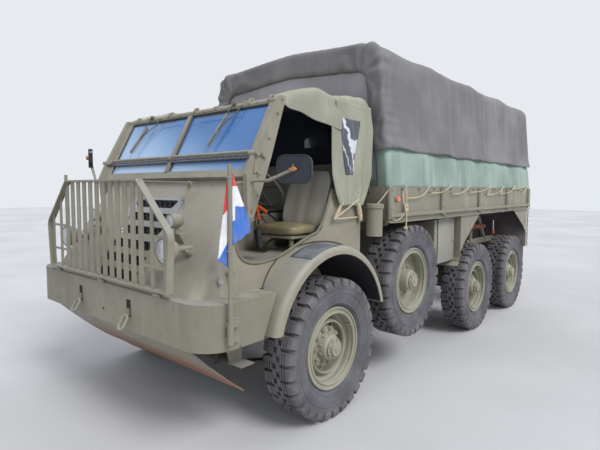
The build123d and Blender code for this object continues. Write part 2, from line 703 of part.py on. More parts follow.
def cab_body():
    """The hollow tub: sides, floor over the wheel wells, rear wall and cowl strip."""
    shell = cab_form(CAB_LOW, CAB_COWL, 0)
    shell = shell - cab_form(CAB_FLOOR, CAB_COWL + 1, CAB_WALL)
    shell = shell - cab_form(CAB_LOW - 1, CAB_FLOOR - CAB_WALL, CAB_WALL)
    for side in (1, -1):
        shell = shell - side_face(side * 820, side * 1100, door_outline())
    shell = shell - box(-1100, 1100, 100, CAB_REAR_Y + 1, CAB_SIDE_TOP, CAB_COWL + 1)
    back = box(-CAB_REAR_HALF + CAB_WALL, CAB_REAR_HALF - CAB_WALL, CAB_REAR_Y - CAB_WALL, CAB_REAR_Y,
               CAB_FLOOR - CAB_WALL, CAB_BACK_TOP)
    shell = shell + back
    cowl = box(-cowl_half(), cowl_half(), nose_y(CAB_COWL) + 1, nose_y(CAB_COWL) + 60,
               CAB_COWL - CAB_WALL, CAB_COWL)
    shell = shell + cowl
    shell = shell - box(-ENGINE_HALF - 20, ENGINE_HALF + 20, ENGINE_FRONT_Y - 20, ENGINE_REAR_Y + 20,
                        CAB_FLOOR - 20, CAB_FLOOR + 1)
    window = front_face(CAB_NOSE_LOW_Y - 10, -300, vent_window())
    shell = shell - (window & cab_form(CAB_LOW, CAB_COWL, -5))
    for side in (1, -1):
        inner = side * ARCH_INNER_X
        outer = side * (CAB_REAR_HALF + 5)
        well = rod((inner, 0, ARCH_Z), (outer, 0, ARCH_Z), ARCH_R + FENDER_WALL)
        shell = shell - well
        skin = rod((inner, 0, ARCH_Z), (outer, 0, ARCH_Z), ARCH_R + FENDER_WALL)
        skin = skin - rod((inner + side * FENDER_WALL, 0, ARCH_Z), (outer, 0, ARCH_Z), ARCH_R)
        skin = skin & box(side * 600, side * 1100, -700, 700, FENDER_LOW, 1300) & cab_keep_out(0)
        bearer = box(side * (RAIL_X - 60), side * (RAIL_X - 10), -900, 500, RAIL_TOP, CAB_FLOOR - CAB_WALL)
        shell = shell + skin + bearer
    return shell


def cowl_half():
    """Half the width of the cowl strip, inside the nose corners."""
    return CAB_NOSE_COWL_HALF - CAB_CORNER_R


def vent_window():
    """The hole in the nose behind the vent panel as (x, z)."""
    half = VENT_HALF + 8
    high = VENT_TOP_Z + VENT_HEIGHT / 2 + 3
    low = VENT_TOP_Z - (VENT_COUNT - 1) * VENT_PITCH - VENT_HEIGHT / 2 - 3
    return make_face(Polyline((-half, low), (half, low), (half, high), (-half, high), close=True))


def nose_panel():
    """The sloping panel with its column of rounded vents, seated on the nose."""
    lean = atan2(CAB_NOSE_COWL_Y - CAB_NOSE_LOW_Y, CAB_COWL - CAB_LOW)
    middle_z = VENT_TOP_Z - (VENT_COUNT - 1) * VENT_PITCH / 2
    place = Plane(origin=(0, nose_y(middle_z), middle_z), x_dir=(1, 0, 0),
                  z_dir=(0, -cos(lean), sin(lean)))
    stretch = 1 / cos(lean)
    tall = ((VENT_COUNT - 1) * VENT_PITCH + VENT_HEIGHT + 2 * VENT_MARGIN) * stretch
    plate = extrude(RectangleRounded(2 * NOSE_PANEL_HALF, tall, 30), NOSE_PANEL_WALL)
    for i in range(VENT_COUNT):
        v = ((VENT_COUNT - 1) / 2 - i) * VENT_PITCH * stretch
        high = VENT_HEIGHT * stretch
        vent = make_face(Polyline((-VENT_HALF, v + high / 2), (VENT_HALF, v + high / 2),
                                  (VENT_HALF - 40, v - high / 2), (40 - VENT_HALF, v - high / 2), close=True))
        vent = fillet(vent.vertices(), 14)
        plate = plate - Pos(0, 0, -1) * extrude(vent, NOSE_PANEL_WALL + 2)
    tall = ((VENT_COUNT - 1) * VENT_PITCH + VENT_HEIGHT) * stretch
    return place * (plate + Pos(0, 0, 1 - MESH_WALL) * vent_mesh(2 * VENT_HALF + 8, tall))


def vent_mesh(wide, tall):
    """The diamond mesh behind the vents, as one sheet with slanting square holes."""
    sheet = Rectangle(wide, tall)
    step = MESH_PITCH / 2 ** 0.5
    holes = []
    for i in range(-int(wide / 2 / step) - 1, int(wide / 2 / step) + 2):
        for j in range(-int(tall / 2 / step) - 1, int(tall / 2 / step) + 2):
            if (i + j) % 2 == 0:
                holes.append(Pos(i * step, j * step) * Rot(0, 0, 45) * Rectangle(
                    MESH_PITCH - MESH_BAR, MESH_PITCH - MESH_BAR))
    inside = Rectangle(wide - 2 * MESH_RIM, tall - 2 * MESH_RIM)
    return extrude(sheet - (Sketch() + holes & inside), MESH_WALL)


def front_fender():
    """The left fender: a crowned arch with a rolled outer lip."""
    crown = FENDER_CROWN
    path = make_face([ThreePointArc((-crown, ARCH_Z), (0, ARCH_Z + crown), (crown, ARCH_Z)),
                      Line((crown, ARCH_Z), (-crown, ARCH_Z))])
    half = CAB_NOSE_COWL_HALF
    solid = side_face(half, FENDER_OUT_X, path)
    rim_edge = solid.edges().filter_by(GeomType.CIRCLE).sort_by(Axis.X)[-1]
    solid = fillet(rim_edge, 42)
    hollow_path = rod((half - 1, 0, ARCH_Z), (FENDER_OUT_X - FENDER_WALL, 0, ARCH_Z), crown - FENDER_WALL)
    edge = hollow_path.edges().filter_by(GeomType.CIRCLE).sort_by(Axis.X)[-1]
    hollow_path = fillet(edge, 38)
    solid = solid - (hollow_path - cab_keep_out(FENDER_WALL)) - cab_keep_out(0)
    solid = solid - rod((half - 1, 0, ARCH_Z), (FENDER_OUT_X + 1, 0, ARCH_Z), ARCH_R)
    skin = rod((half, 0, ARCH_Z), (FENDER_OUT_X - FENDER_WALL, 0, ARCH_Z), ARCH_R + FENDER_WALL)
    skin = skin - rod((half - 1, 0, ARCH_Z), (FENDER_OUT_X, 0, ARCH_Z), ARCH_R)
    solid = solid + (skin - cab_keep_out(0))
    return solid & box(half - 1, FENDER_OUT_X + 1, -700, 700, FENDER_LOW, 1300)


def engine_cover():
    """The cover over the engine between the seats."""
    half = ENGINE_HALF + COVER_GAP
    y0 = ENGINE_FRONT_Y - COVER_GAP
    y1 = ENGINE_REAR_Y + COVER_GAP
    top = ENGINE_TOP + COVER_GAP
    outer = box(-half, half, y0, y1, CAB_FLOOR, top)
    outer = fillet(outer.edges().filter_by(Axis.Y).group_by(Axis.Z)[-1], 40)
    return outer - box(4 - half, half - 4, y0 + 4, y1 - 4, CAB_FLOOR - 1, top - 4)


def windscreen():
    """The sloping frame: header, mid bar, foot bar, centre post and the two wide pillars."""
    place, tall = screen_plane()
    low = SCREEN_LOW_HALF
    top = SCREEN_TOP_HALF
    bar = SCREEN_BAR
    edge = SCREEN_EDGE
    drop = -SCREEN_FOOT_DROP
    outline = make_face(Polyline((-low - edge, drop), (low + edge, drop), (top + edge, tall),
                                 (-top - edge, tall), close=True))
    frame = Pos(0, 0, -bar / 2) * extrude(outline, bar)
    for pane in screen_panes(0):
        frame = frame - Pos(0, 0, -bar) * extrude(pane, 2 * bar)
    whole = place * frame
    for post in pair([pillar()]):
        whole = whole + post
    return whole - cab_form(CAB_LOW, CAB_COWL, 0)


def pillar():
    """The left screen pillar: a plate leaning outwards that tapers to its foot on the cab's side."""
    x0, z0 = PILLAR_FOOT
    x1, z1 = PILLAR_TOP
    lean = atan2(x1 - x0, z1 - z0)
    place = Plane(origin=(x0, 0, z0), x_dir=(0, 1, 0), z_dir=(cos(lean), 0, -sin(lean)))
    corners = [(-640, z0), (-658, 1730), (-600, 1850), (-372, z1), (-320, z1), (-445, 1850), (-580, 1485),
               (-612, z0)]
    face = make_face(Polyline(*[(y, (z - z0) / cos(lean)) for y, z in corners], close=True))
    return place * extrude(face, PILLAR_WALL)


def screen_plane():
    """The windscreen's plane, its origin at the foot, and its height."""
    y0, z0 = SCREEN_LOW
    y1, z1 = SCREEN_TOP
    tall = hypot(y1 - y0, z1 - z0)
    lean = Vector(0, y1 - y0, z1 - z0).normalized()
    normal = Vector(1, 0, 0).cross(lean)
    return Plane(origin=(0, y0, z0), x_dir=(1, 0, 0), z_dir=normal), tall


def screen_panes(grow):
    """The four panes as faces in the windscreen's plane."""
    _, tall = screen_plane()
    bar = SCREEN_BAR
    mid = tall * SCREEN_MID_SHARE
    panes = []
    for side in (1, -1):
        for low, high in [(bar * 0.6, mid - bar * 0.4), (mid + bar * 0.4, tall - bar)]:
            def half(v):
                return SCREEN_LOW_HALF + (SCREEN_TOP_HALF - SCREEN_LOW_HALF) * v / tall - SCREEN_STILE
            points = [(side * (bar / 2 - grow), low - grow), (side * (half(low) + grow), low - grow),
                      (side * (half(high) + grow), high + grow), (side * (bar / 2 - grow), high + grow)]
            panes.append(make_face(Polyline(*points, close=True)))
    return panes


def windscreen_glass():
    """Four flat panes in the frame."""
    place, _ = screen_plane()
    inner = place * Pos(0, 0, -GLASS_WALL / 2)
    return [inner * extrude(pane, GLASS_WALL) for pane in screen_panes(-SEAT_GAP)]


def wipers():
    """Two wipers hung from the header."""
    place, tall = screen_plane()
    found = []
    for side in (1, -1):
        x = side * 480
        out = SCREEN_BAR / 2
        motor = Pos(x, tall - 25, out) * extrude(Circle(24), 26)
        arm = Plane(origin=(x, tall - 25, out + 20), x_dir=(0, 0, 1), z_dir=(-0.5, -0.9, 0))
        found.append(place * (motor + arm * extrude(Rectangle(8, 12), 330)))
    return found


def mirrors():
    """Turned square mirrors on bent tube arms, the right one set higher."""
    turn = radians(MIRROR_TURN)
    found = []
    for middle in [(1245.0, -550.0, 1757.0), (1245.0, -600.0, 1915.0)]:
        root_z = PILLAR_FOOT[1] + 264
        lean = (PILLAR_TOP[0] - PILLAR_FOOT[0]) / (PILLAR_TOP[1] - PILLAR_FOOT[1])
        root = (PILLAR_FOOT[0] + PILLAR_WALL + 264 * lean + 0.7, -610.0, root_z)
        bend = (1095.0, -610.0, root_z)
        end = (middle[0] - 8 * sin(turn), middle[1] + 8 * cos(turn), middle[2])
        arm = rod(root, bend, 9) + Pos(*bend) * Sphere(9) + rod(bend, end, 9)
        place = Plane(origin=middle, x_dir=(cos(turn), sin(turn), 0), z_dir=(-sin(turn), cos(turn), 0))
        head = place * extrude(RectangleRounded(MIRROR_WIDTH, MIRROR_HEIGHT, MIRROR_CORNER_R), MIRROR_WALL)
        found.append(arm + head)
    return [found[0], other_side(found[1])]


def cab_canvas():
    """The canvas roof with its side skirts and rear wall."""
    wall = CANVAS_WALL
    rear = CANVAS_REAR_Y
    crest = [(-270, 2300), (30, 2385), (420, 2378), (640, CANVAS_CROWN)]
    hem = [(rear, 2350), (rear, 1610), (rear - wall, 1610), (rear - wall, CANVAS_SKIRT), (150, CANVAS_SKIRT),
           (110, 2120), (-290, 2205)]
    profile = [(-352, 2262)] + crest + hem
    outer = side_plate(-CANVAS_HALF, CANVAS_HALF, profile)
    inner_profile = [(-400, 2240)] + [(y, z - wall) for y, z in crest]
    inner_profile = inner_profile + [(rear - wall, 2345), (rear - wall, 1500), (-400, 1500)]
    inner = side_plate(CANVAS_WALL - CANVAS_HALF, CANVAS_HALF - CANVAS_WALL, inner_profile)
    return outer - inner


def side_curtains():
    """The gathered side curtains, tied back behind the door openings."""
    top = CANVAS_SKIRT - SEAT_GAP
    inner = CAB_REAR_HALF + SEAT_GAP
    outline = [(125, top), (CANVAS_REAR_Y - 20, top), (665, 1760), (540, 1515), (230, 1515), (150, 1760)]
    return pair([side_plate(inner, inner + CURTAIN_WALL, outline)])


def seats():
    """Two bucket seats on pedestals."""
    found = []
    for side in (1, -1):
        x0 = side * (SEAT_X - SEAT_HALF)
        x1 = side * (SEAT_X + SEAT_HALF)
        rear = SEAT_REAR_Y + SEAT_GAP
        under = SEAT_TOP - SEAT_WALL
        back_y, back_z = SEAT_BACK_TOP
        cushion = box(x0, x1, SEAT_FRONT_Y, SEAT_REAR_Y, under, SEAT_TOP)
        cushion = fillet(cushion.edges().filter_by(Axis.Z), 50)
        back = side_plate(min(x0, x1), max(x0, x1), [(rear, under + 25), (rear + 60, under + 25),
                                                     (back_y + SEAT_BACK_WALL, back_z), (back_y, back_z)])
        frame = box(x0 + side * 40, x1 - side * 40, SEAT_FRONT_Y + 30, SEAT_REAR_Y - 30, CAB_FLOOR, under)
        frame = frame - box(x0, x1, SEAT_FRONT_Y + 70, SEAT_REAR_Y - 70, CAB_FLOOR - 1, under - 40)
        frame = frame - rod((side * ARCH_INNER_X, 0, ARCH_Z), (x1, 0, ARCH_Z), ARCH_R + FENDER_WALL)
        found.append(cushion)
        found.append(back)
        found.append(frame)
    return found


def cab_controls():
    """Dash, steering column and wheel, levers and pedals."""
    top = CAB_COWL - CAB_WALL
    dash = side_plate(-cowl_half(), cowl_half(), [(-545, 1600), (-480, 1610), (-470, top), (-545, top)])
    x = 600.0
    column = rod((x, -729, CAB_FLOOR + 15), (x, -222, 1648), 20)
    wheel = Plane(origin=(x, -215, 1655), z_dir=(0, 0.72, 0.69)) * Torus(205, 12)
    spokes = Plane(origin=(x, -215, 1655), x_dir=(1, 0, 0), z_dir=(0, 0.72, 0.69)) * (
        Box(410, 14, 8) + Box(14, 410, 8) + Cylinder(35, 24))
    foot = box(346, 412, -304, -258, CAB_FLOOR, CAB_FLOOR + 8)
    for lever_x, top_y in [(364.0, -60.0), (394.0, -120.0)]:
        foot = foot + rod((lever_x, -280, CAB_FLOOR + 4), (lever_x, top_y, 1540), 9)
    pedals = [box(px - 30, px + 30, -700, -690, 1190, 1290) + box(px - 6, px + 6, -760, -700, CAB_FLOOR, 1240)
              for px in (520.0, 610.0, 700.0)]
    return [dash + column, wheel + spokes, foot] + pedals


def bed_floor():
    """The plank floor, tapered cross bearers, long sills and rear hinge rail."""
    floor = box(-BED_HALF + BED_SIDE_WALL, BED_HALF - BED_SIDE_WALL, BED_FRONT_Y, BED_REAR_Y, BED_FLOOR_LOW,
                BED_FLOOR_LOW + BED_FLOOR_WALL)
    whole = floor
    low = BED_FLOOR_LOW - BEARER_DEPTH
    reach = BED_HALF - BED_SIDE_WALL
    outline = make_face(Polyline((-reach, BED_FLOOR_LOW), (-reach, BED_FLOOR_LOW - 22), (-880, low), (880, low),
                                 (reach, BED_FLOOR_LOW - 22), (reach, BED_FLOOR_LOW), close=True))
    places = [STAKE_Y + i * STAKE_PITCH for i in range(STAKE_COUNT)]
    places = places + [(a + b) / 2 + 60 for a, b in zip(places[1:], places[2:])]
    for y in places:
        whole = whole + front_face(y - 30, y + 30, outline)
    for side in (1, -1):
        whole = whole + box(side * (RAIL_X - 70), side * RAIL_X, BED_FRONT_Y, BED_REAR_Y, RAIL_TOP, low)
    return whole


def bed_sides():
    """Side boards with bottom rails and stakes, and the front board."""
    side = box(BED_HALF - BED_SIDE_WALL, BED_HALF, BED_FRONT_Y, BED_REAR_Y, BED_FLOOR_LOW, BED_SIDE_TOP)
    rail = box(BED_HALF, BED_HALF + BED_RAIL_OUT, BED_FRONT_Y, BED_REAR_Y, BED_FLOOR_LOW, BED_RAIL_TOP)
    rail = rail - box(BED_HALF + 6, BED_HALF + BED_RAIL_OUT + 1, BED_FRONT_Y - 1, BED_REAR_Y + 1,
                      BED_FLOOR_LOW + 8, BED_RAIL_TOP - 30)
    side = side + rail
    for i in range(STAKE_COUNT):
        y = STAKE_Y + i * STAKE_PITCH
        stake_out = BED_HALF + BED_RAIL_OUT - 6
        side = side + box(BED_HALF, stake_out, y - 30, y + 30, BED_RAIL_TOP, BED_SIDE_TOP - 5)
        if i < STAKE_COUNT - 1:
            for share in HOOK_SHARES:
                hook_y = y + share * STAKE_PITCH
                side = side + box(BED_HALF, BED_HALF + HOOK_OUT, hook_y - 8, hook_y + 8, HOOK_Z, HOOK_Z + 14)
    front = box(-BED_HALF + BED_SIDE_WALL, BED_HALF - BED_SIDE_WALL, BED_FRONT_Y, BED_FRONT_Y + BED_SIDE_WALL,
                BED_FLOOR_LOW + BED_FLOOR_WALL, BED_SIDE_TOP)
    return [side, other_side(side), front]


def gate_hinges(moving):
    """The tailgate's loops, or the ears and pins on the rear rail."""
    found = []
    for side in (1, -1):
        x = side * GATE_HINGE_X
        if moving:
            loop = rod((x - 40, GATE_AXIS_Y, GATE_AXIS_Z), (x + 40, GATE_AXIS_Y, GATE_AXIS_Z), 15)
            tab = box(x - 40, x + 40, GATE_Y - 12, GATE_AXIS_Y, GATE_AXIS_Z, GATE_AXIS_Z + 60)
            hole = rod((x - 41, GATE_AXIS_Y, GATE_AXIS_Z), (x + 41, GATE_AXIS_Y, GATE_AXIS_Z),
                       GATE_PIN_R + SEAT_GAP)
            found.append(loop + tab - hole)
        else:
            whole = rod((x - 64, GATE_AXIS_Y, GATE_AXIS_Z), (x + 64, GATE_AXIS_Y, GATE_AXIS_Z), GATE_PIN_R)
            y = GATE_AXIS_Y
            z = GATE_AXIS_Z
            ear = [(BED_REAR_Y, BED_FLOOR_LOW), (y - 4, BED_FLOOR_LOW + 30), (y + 12, z - 6), (y + 8, z + 10),
                   (y - 10, z + 10), (BED_REAR_Y, z - 8)]
            for end in (-1, 1):
                whole = whole + side_plate(x + end * 54 - 10, x + end * 54 + 10, ear)
            found.append(whole)
    return found


def rear_rail():
    """The rear cross rail with the tailgate's ears and corner posts."""
    rail = box(-BED_HALF + BED_SIDE_WALL, BED_HALF - BED_SIDE_WALL, BED_REAR_Y - 60, BED_REAR_Y,
               BED_FLOOR_LOW + BED_FLOOR_WALL, BED_RAIL_TOP)
    for hinge in gate_hinges(False):
        rail = rail + hinge
    return rail


def tailgate():
    """The drop tailgate with three ribs."""
    low = BED_RAIL_TOP + MOVING_GAP
    half = BED_HALF - MOVING_GAP
    gate = box(-half, half, GATE_Y - GATE_WALL + 12, GATE_Y, low, BED_SIDE_TOP)
    for x in (-900.0, -300.0, 300.0, 900.0):
        gate = gate + box(x - 30, x + 30, GATE_Y, GATE_Y + 10, low + 30, BED_SIDE_TOP)
    for loop in gate_hinges(True):
        gate = gate + loop
    return gate


def arch_face(inset):
    """The canopy's end outline as (x, z), drawn in by inset."""
    sill = CANOPY_SILL_HALF - inset
    eave = CANOPY_EAVE_HALF - inset
    top = CANOPY_EAVE - inset
    ridge = CANOPY_RIDGE - inset
    corners = [(-sill, CANOPY_SILL), (-eave, top), (0, ridge), (eave, top), (sill, CANOPY_SILL)]
    face = make_face(Polyline(*corners, close=True))
    eaves = face.vertices().sort_by(Axis.Y)[-3:-1]
    face = fillet(eaves, CANOPY_CORNER_R - inset)
    crest = face.vertices().sort_by(Axis.Y)[-1]
    return fillet(crest, CANOPY_CREST_R)


def arch_ring(y0, y1, outer, inner):
    """A shell of the canopy's outline between two insets."""
    return front_face(y0, y1, arch_face(outer)) - front_face(y0 - 1, y1 + 1, arch_face(inner))


def above(shape, z):
    """The part of a shape above a height."""
    return shape & box(-1300, 1300, 0, 5400, z, 3100)


def canopy_cover():
    """The dark upper cover with its rolled front edge."""
    shell = arch_ring(CANOPY_FRONT_Y, CANOPY_REAR_Y, 0, CANOPY_WALL)
    front = front_face(CANOPY_FRONT_Y, CANOPY_FRONT_Y + 24, arch_face(0))
    front = front - front_face(CANOPY_FRONT_Y - 1, CANOPY_FRONT_Y + 25, arch_face(CANOPY_FACE))
    front = front - box(-1300, 1300, 0, 1000, 1600, CANOPY_SILL + CANOPY_WALL)
    return above(shell + front, CANOPY_SPLIT)


def canopy_curtain():
    """The green lower curtain, tucked under the cover's edge."""
    shell = arch_ring(CANOPY_FRONT_Y + 25, CANOPY_REAR_Y - 2, CANOPY_WALL + SEAT_GAP, 2 * CANOPY_WALL)
    wrap = front_face(CANOPY_FRONT_Y + 25, CANOPY_FRONT_Y + 37, arch_face(CANOPY_WALL + SEAT_GAP))
    wrap = wrap - front_face(CANOPY_FRONT_Y, CANOPY_FRONT_Y + 40, arch_face(CANOPY_FACE))
    whole = (shell + wrap) & box(-1300, 1300, 0, 5400, CANOPY_SILL, CANOPY_SPLIT + CANOPY_LAP)
    return whole


def canopy_front():
    """The flat panel set back in the canopy's front."""
    y = CANOPY_FRONT_Y + 37 + SEAT_GAP
    panel = front_face(y, y + 8, arch_face(2 * CANOPY_WALL + 4))
    return panel


def canopy_hoops():
    """Five hoops that hold the canopy up."""
    found = []
    first = CANOPY_FRONT_Y + 70
    last = CANOPY_REAR_Y - 50
    inset = 2 * CANOPY_WALL + SEAT_GAP
    for i in range(STAKE_COUNT):
        y = first + i * (last - first) / (STAKE_COUNT - 1)
        ring = arch_ring(y - HOOP_BAR / 2, y + HOOP_BAR / 2, inset, inset + HOOP_BAR)
        outer = CANOPY_SILL_HALF - inset
        for side in (1, -1):
            ring = ring + box(side * (outer - HOOP_BAR), side * outer, y - HOOP_BAR / 2, y + HOOP_BAR / 2,
                              BED_SIDE_TOP, CANOPY_SILL)
        found.append(ring & box(-1300, 1300, 0, 5400, BED_SIDE_TOP, 3100))
    return found


def tool_boxes():
    """Lockers between the helper and rear wheels."""
    y0 = HELPER_Y + TYRE_R + 140
    y1 = MUDGUARD_Y - 35
    locker = box(BOX_OUT_X - 380, BOX_OUT_X, y0, y1, 870, BED_FLOOR_LOW - BEARER_DEPTH)
    door = box(BOX_OUT_X, BOX_OUT_X + 8, y0 + 130, y1 - 15, 885, 1270)
    return pair([locker + door])


def mudguards():
    """Guards ahead of and flaps behind the rear wheels."""
    x0 = 860.0
    x1 = 1130.0
    y = MUDGUARD_Y
    top = BED_FLOOR_LOW
    front = box(x0, x1, y - 8, y, 960, top)
    gusset = side_plate(x1 - 6, x1, [(y - 8, top), (REAR_AXLE_Y + 100, top), (y + 110, 1060), (y, 960)])
    curl = [(y, 962), (y - 6, 900), (y - 32, 846), (y - 92, 808), (y - 94, 816), (y - 38, 852), (y - 14, 903),
            (y - 8, 962)]
    low = side_plate(x0, x1, curl)
    rear = REAR_AXLE_Y + BOGIE_SPREAD
    flap_y = RAIL_REAR_Y - 45
    flap = box(x0, x1, flap_y, flap_y + 10, 790, top)
    web = side_plate(x1 - 6, x1, [(rear + 80, top), (flap_y, top), (flap_y, 1000), (rear + 560, 1130)])
    return pair([front + gusset + low, flap + web])


def canisters():
    """Filter canisters behind the cab's corners."""
    x = 1085.0
    y = 628.0
    can = rod((x, y, 1262), (x, y, 1490), 66) + rod((x, y, 1490), (x, y, 1520), 74)
    arm = box(CAB_REAR_HALF - 40, x - 20, y - 20, y + 20, 1380, 1400)
    leg = box(CAB_REAR_HALF - 40, CAB_REAR_HALF - 20, CAB_REAR_Y, y + 20, 1370, 1410)
    return pair([can + arm + leg])


def helper_axle():
    """The raised helper wheels' through axle and its hangers."""
    z = HELPER_Z
    hanger = side_plate(RAIL_X, RAIL_X + 60, [(HELPER_Y - 110, RAIL_TOP - 20), (HELPER_Y + 110, RAIL_TOP - 20),
                                              (HELPER_Y + 60, z - 70), (HELPER_Y - 60, z - 70)])
    collar = rod((RAIL_X + 60, HELPER_Y, z), (TRACK_HALF - RIM_HALF_WIDTH - MOVING_GAP, HELPER_Y, z), 62)
    left = hanger + collar + rod((RAIL_X, HELPER_Y, z), (TRACK_HALF + 34, HELPER_Y, z), SPINDLE_R)
    return pair([left])


def rear_bogie():
    """Trunnion tube, inverted leaf springs and A brackets."""
    y = REAR_AXLE_Y + BOGIE_SPREAD / 2
    whole = rod((-SPRING_X - 60, y, TRUNNION_Z), (SPRING_X + 60, y, TRUNNION_Z), 55)
    half = BOGIE_SPREAD / 2 + 30
    wide = 38.0
    rise = SPRING_CREST - SPRING_END_Z
    for side in (1, -1):
        x = side * SPRING_X
        for i in range(LEAF_COUNT):
            length = half * (1 - 0.15 * i)
            drop = rise * (length / half) ** 2
            under = SPRING_CREST - LEAF_WALL * i
            lower = ThreePointArc((y - length, under - drop), (y, under), (y + length, under - drop))
            upper = ThreePointArc((y + length, under - drop + LEAF_WALL), (y, under + LEAF_WALL),
                                  (y - length, under - drop + LEAF_WALL))
            leaf = make_face([lower, Line(lower @ 1, upper @ 0), upper, Line(upper @ 1, lower @ 0)])
            whole = whole + side_face(x - wide, x + wide, leaf)
        crest = SPRING_CREST + LEAF_WALL
        seat = side_plate(x - wide - 8, x + wide + 8, [(y - 110, crest + 12), (y + 110, crest + 12),
                                                       (y + 80, TRUNNION_Z), (y - 80, TRUNNION_Z)])
        whole = whole + seat
        leg_x = side * (SPRING_X + 55)
        for way in (1, -1):
            whole = whole + flat((leg_x, y, 1255), (leg_x, y + way * 190, crest - 60), 60, 14, (1, 0, 0))
        whole = whole + rod((side * (SPRING_X - 60), y, 1120), (side * (SPRING_X + 130), y, 1120), 34)
        whole = whole + box(side * (RAIL_X + SEAT_GAP), side * (SPRING_X + 70), y - 60, y + 60, 1240, 1280)
        whole = whole + box(side * (RAIL_X + SEAT_GAP), side * (RAIL_X + 14), y - 120, y + 120,
                            RAIL_TOP - 150, 1280)
        whole = whole + box(side * (SPRING_X - wide - 8), side * (RAIL_X + SEAT_GAP), y - 50, y + 50,
                            RAIL_TOP - 150, RAIL_TOP - 110)
    return [whole]


def rear_axles():
    """Two banjo axles with spring seats and hub spindles."""
    found = []
    z = TYRE_R
    end = TRACK_HALF - RIM_HALF_WIDTH - MOVING_GAP - 3
    beam = about_x([(-end, 0), (-end, 72), (-BEAM_X, 72), (-BEAM_X + 30, 58), (-280, 62), (-120, 150),
                    (120, 150), (280, 62), (BEAM_X - 30, 58), (BEAM_X, 72), (end, 72), (end, 0)])
    for y in (REAR_AXLE_Y, REAR_AXLE_Y + BOGIE_SPREAD):
        whole = Pos(0, y, z) * beam + rod((0, y - AXLE_NOSE, z), (0, y + AXLE_NOSE, z), 48)
        for side in (1, -1):
            x = side * SPRING_X
            whole = whole + box(x - 55, x + 55, y - 50, y + 50, z, SPRING_END_Z - SEAT_GAP)
            spin = spindle(z, y, end - 20)
            whole = whole + (spin if side > 0 else other_side(spin))
        found.append(whole)
    return found


def driveline():
    """Transfer box on the frame, shafts fore and aft, exhaust and fuel tank."""
    y = 1650.0
    case = box(-200, 200, y - 220, y + 220, 620, 940)
    case = fillet(case.edges().filter_by(Axis.Y), 50)
    hangers = box(-RAIL_X + RAIL_WALL, RAIL_X - RAIL_WALL, y - 40, y + 40, 830, 900)
    front = rod((0, 272, TYRE_R + 20), (0, y - 200, 700), 35)
    rear = rod((0, y + 200, 700), (0, REAR_AXLE_Y - 182, TYRE_R), 35)
    link = rod((0, REAR_AXLE_Y + AXLE_NOSE, TYRE_R), (0, REAR_AXLE_Y + BOGIE_SPREAD - AXLE_NOSE, TYRE_R), 32)
    return [case + hangers + front + rear, link]


def tow_coupling():
    """The rear pin-and-jaw coupling with its bored jaws."""
    y = RAIL_REAR_Y
    z = RAIL_TOP - RAIL_DEPTH / 2
    plate = box(-110, 110, y, y + 16, z - 90, z + 90)
    jaws = box(-50, 50, y + 16, y + 145, z + 32, z + 62) + box(-50, 50, y + 16, y + 145, z - 62, z - 32)
    back = box(-50, 50, y + 16, y + 50, z - 62, z + 62)
    bore = rod((0, y + 104, z - 70), (0, y + 104, z + 70), TOW_BORE_R)
    return plate + jaws + back - bore


def flag():
    """A small cloth flag tied to the left marker pole."""
    x = BUMPER_HALF + POLE_OUT
    tied = POLE_R + SEAT_GAP
    outline = make_face(Polyline((tied, 1700), (30, 1700), (150, 1430), (120, 1330), (40, 1250), (tied, 1420),
                                 close=True))
    place = Plane(origin=(x, POLE_Y, 0), x_dir=(-0.2, 0.98, 0), z_dir=(0.98, 0.2, 0))
    return place * (Pos(0, 0, -8) * extrude(outline, 16))


def bend_radius(points, i):
    """The radius of a cord's bend at point i: 0.45 of the shorter run over tan of half the turn."""
    before = Vector(*points[i]) - Vector(*points[i - 1])
    after = Vector(*points[i + 1]) - Vector(*points[i])
    turn = radians(before.get_angle(after))
    return 0.45 * min(before.length, after.length) / tan(turn / 2)


def lacing_tail():
    """The free end of the canopy's lacing rope, hanging from its front hook."""
    x = BED_HALF + BED_RAIL_OUT + 14
    y = STAKE_Y + HOOK_SHARES[0] * STAKE_PITCH
    hook_x = BED_HALF + HOOK_OUT / 2
    points = [(hook_x, y, HOOK_Z - SEAT_GAP), (hook_x + 1, y + 2, 1560), (x - 3, y + 1, 1472),
              (x + 3, y + 7, 1385), (x - 1, y + 4, 1300)]
    radii = [bend_radius(points, i) for i in range(1, len(points) - 1)]
    print("lacing_tail radii", [round(radius, 1) for radius in radii])
    path = FilletPolyline(*points, radius=radii)
    place = Plane(origin=path @ 0, z_dir=path % 0)
    return sweep(place * Circle(ROPE_R), path=path)


os.makedirs("parts", exist_ok=True)
wheels()
save("knuckle_left", [knuckle()])
save("knuckle_right", [other_side(knuckle())])
save("front_suspension", front_suspension())
save("chassis_frame", [chassis()])
save("engine_block", [box(-ENGINE_HALF, ENGINE_HALF, ENGINE_FRONT_Y, ENGINE_REAR_Y, ENGINE_LOW, ENGINE_TOP)])
save("front_bumper", [bumper()] + guard_knuckles(False) + pair([step_plates()]))
save("tow_shackles", shackles())
save("belly_plate", [belly_plate()])
save("brush_guard", [brush_guard()])
save("headlamps", headlamps())
save("marker_lamps", marker_lamps())
save("marker_poles", marker_poles())
save("flag", [flag()])
save("cab_body", [cab_body()] + stay_brackets())
save("nose_panel", [nose_panel()])
save("front_fenders", pair([front_fender()]))
save("engine_cover", [engine_cover()])
save("windscreen_frame", [windscreen()])
save("windscreen_glass", windscreen_glass())
save("wipers", wipers())
save("mirrors", mirrors())
save("cab_canvas", [cab_canvas()])
save("side_curtains", side_curtains())
save("seats", seats())
save("cab_controls", cab_controls())
save("bed_floor", [bed_floor(), rear_rail()])
save("bed_sides", bed_sides())
save("tailgate", [tailgate()])
save("canopy_cover", [canopy_cover()])
save("canopy_curtain", [canopy_curtain()])
save("canopy_front", [canopy_front()])
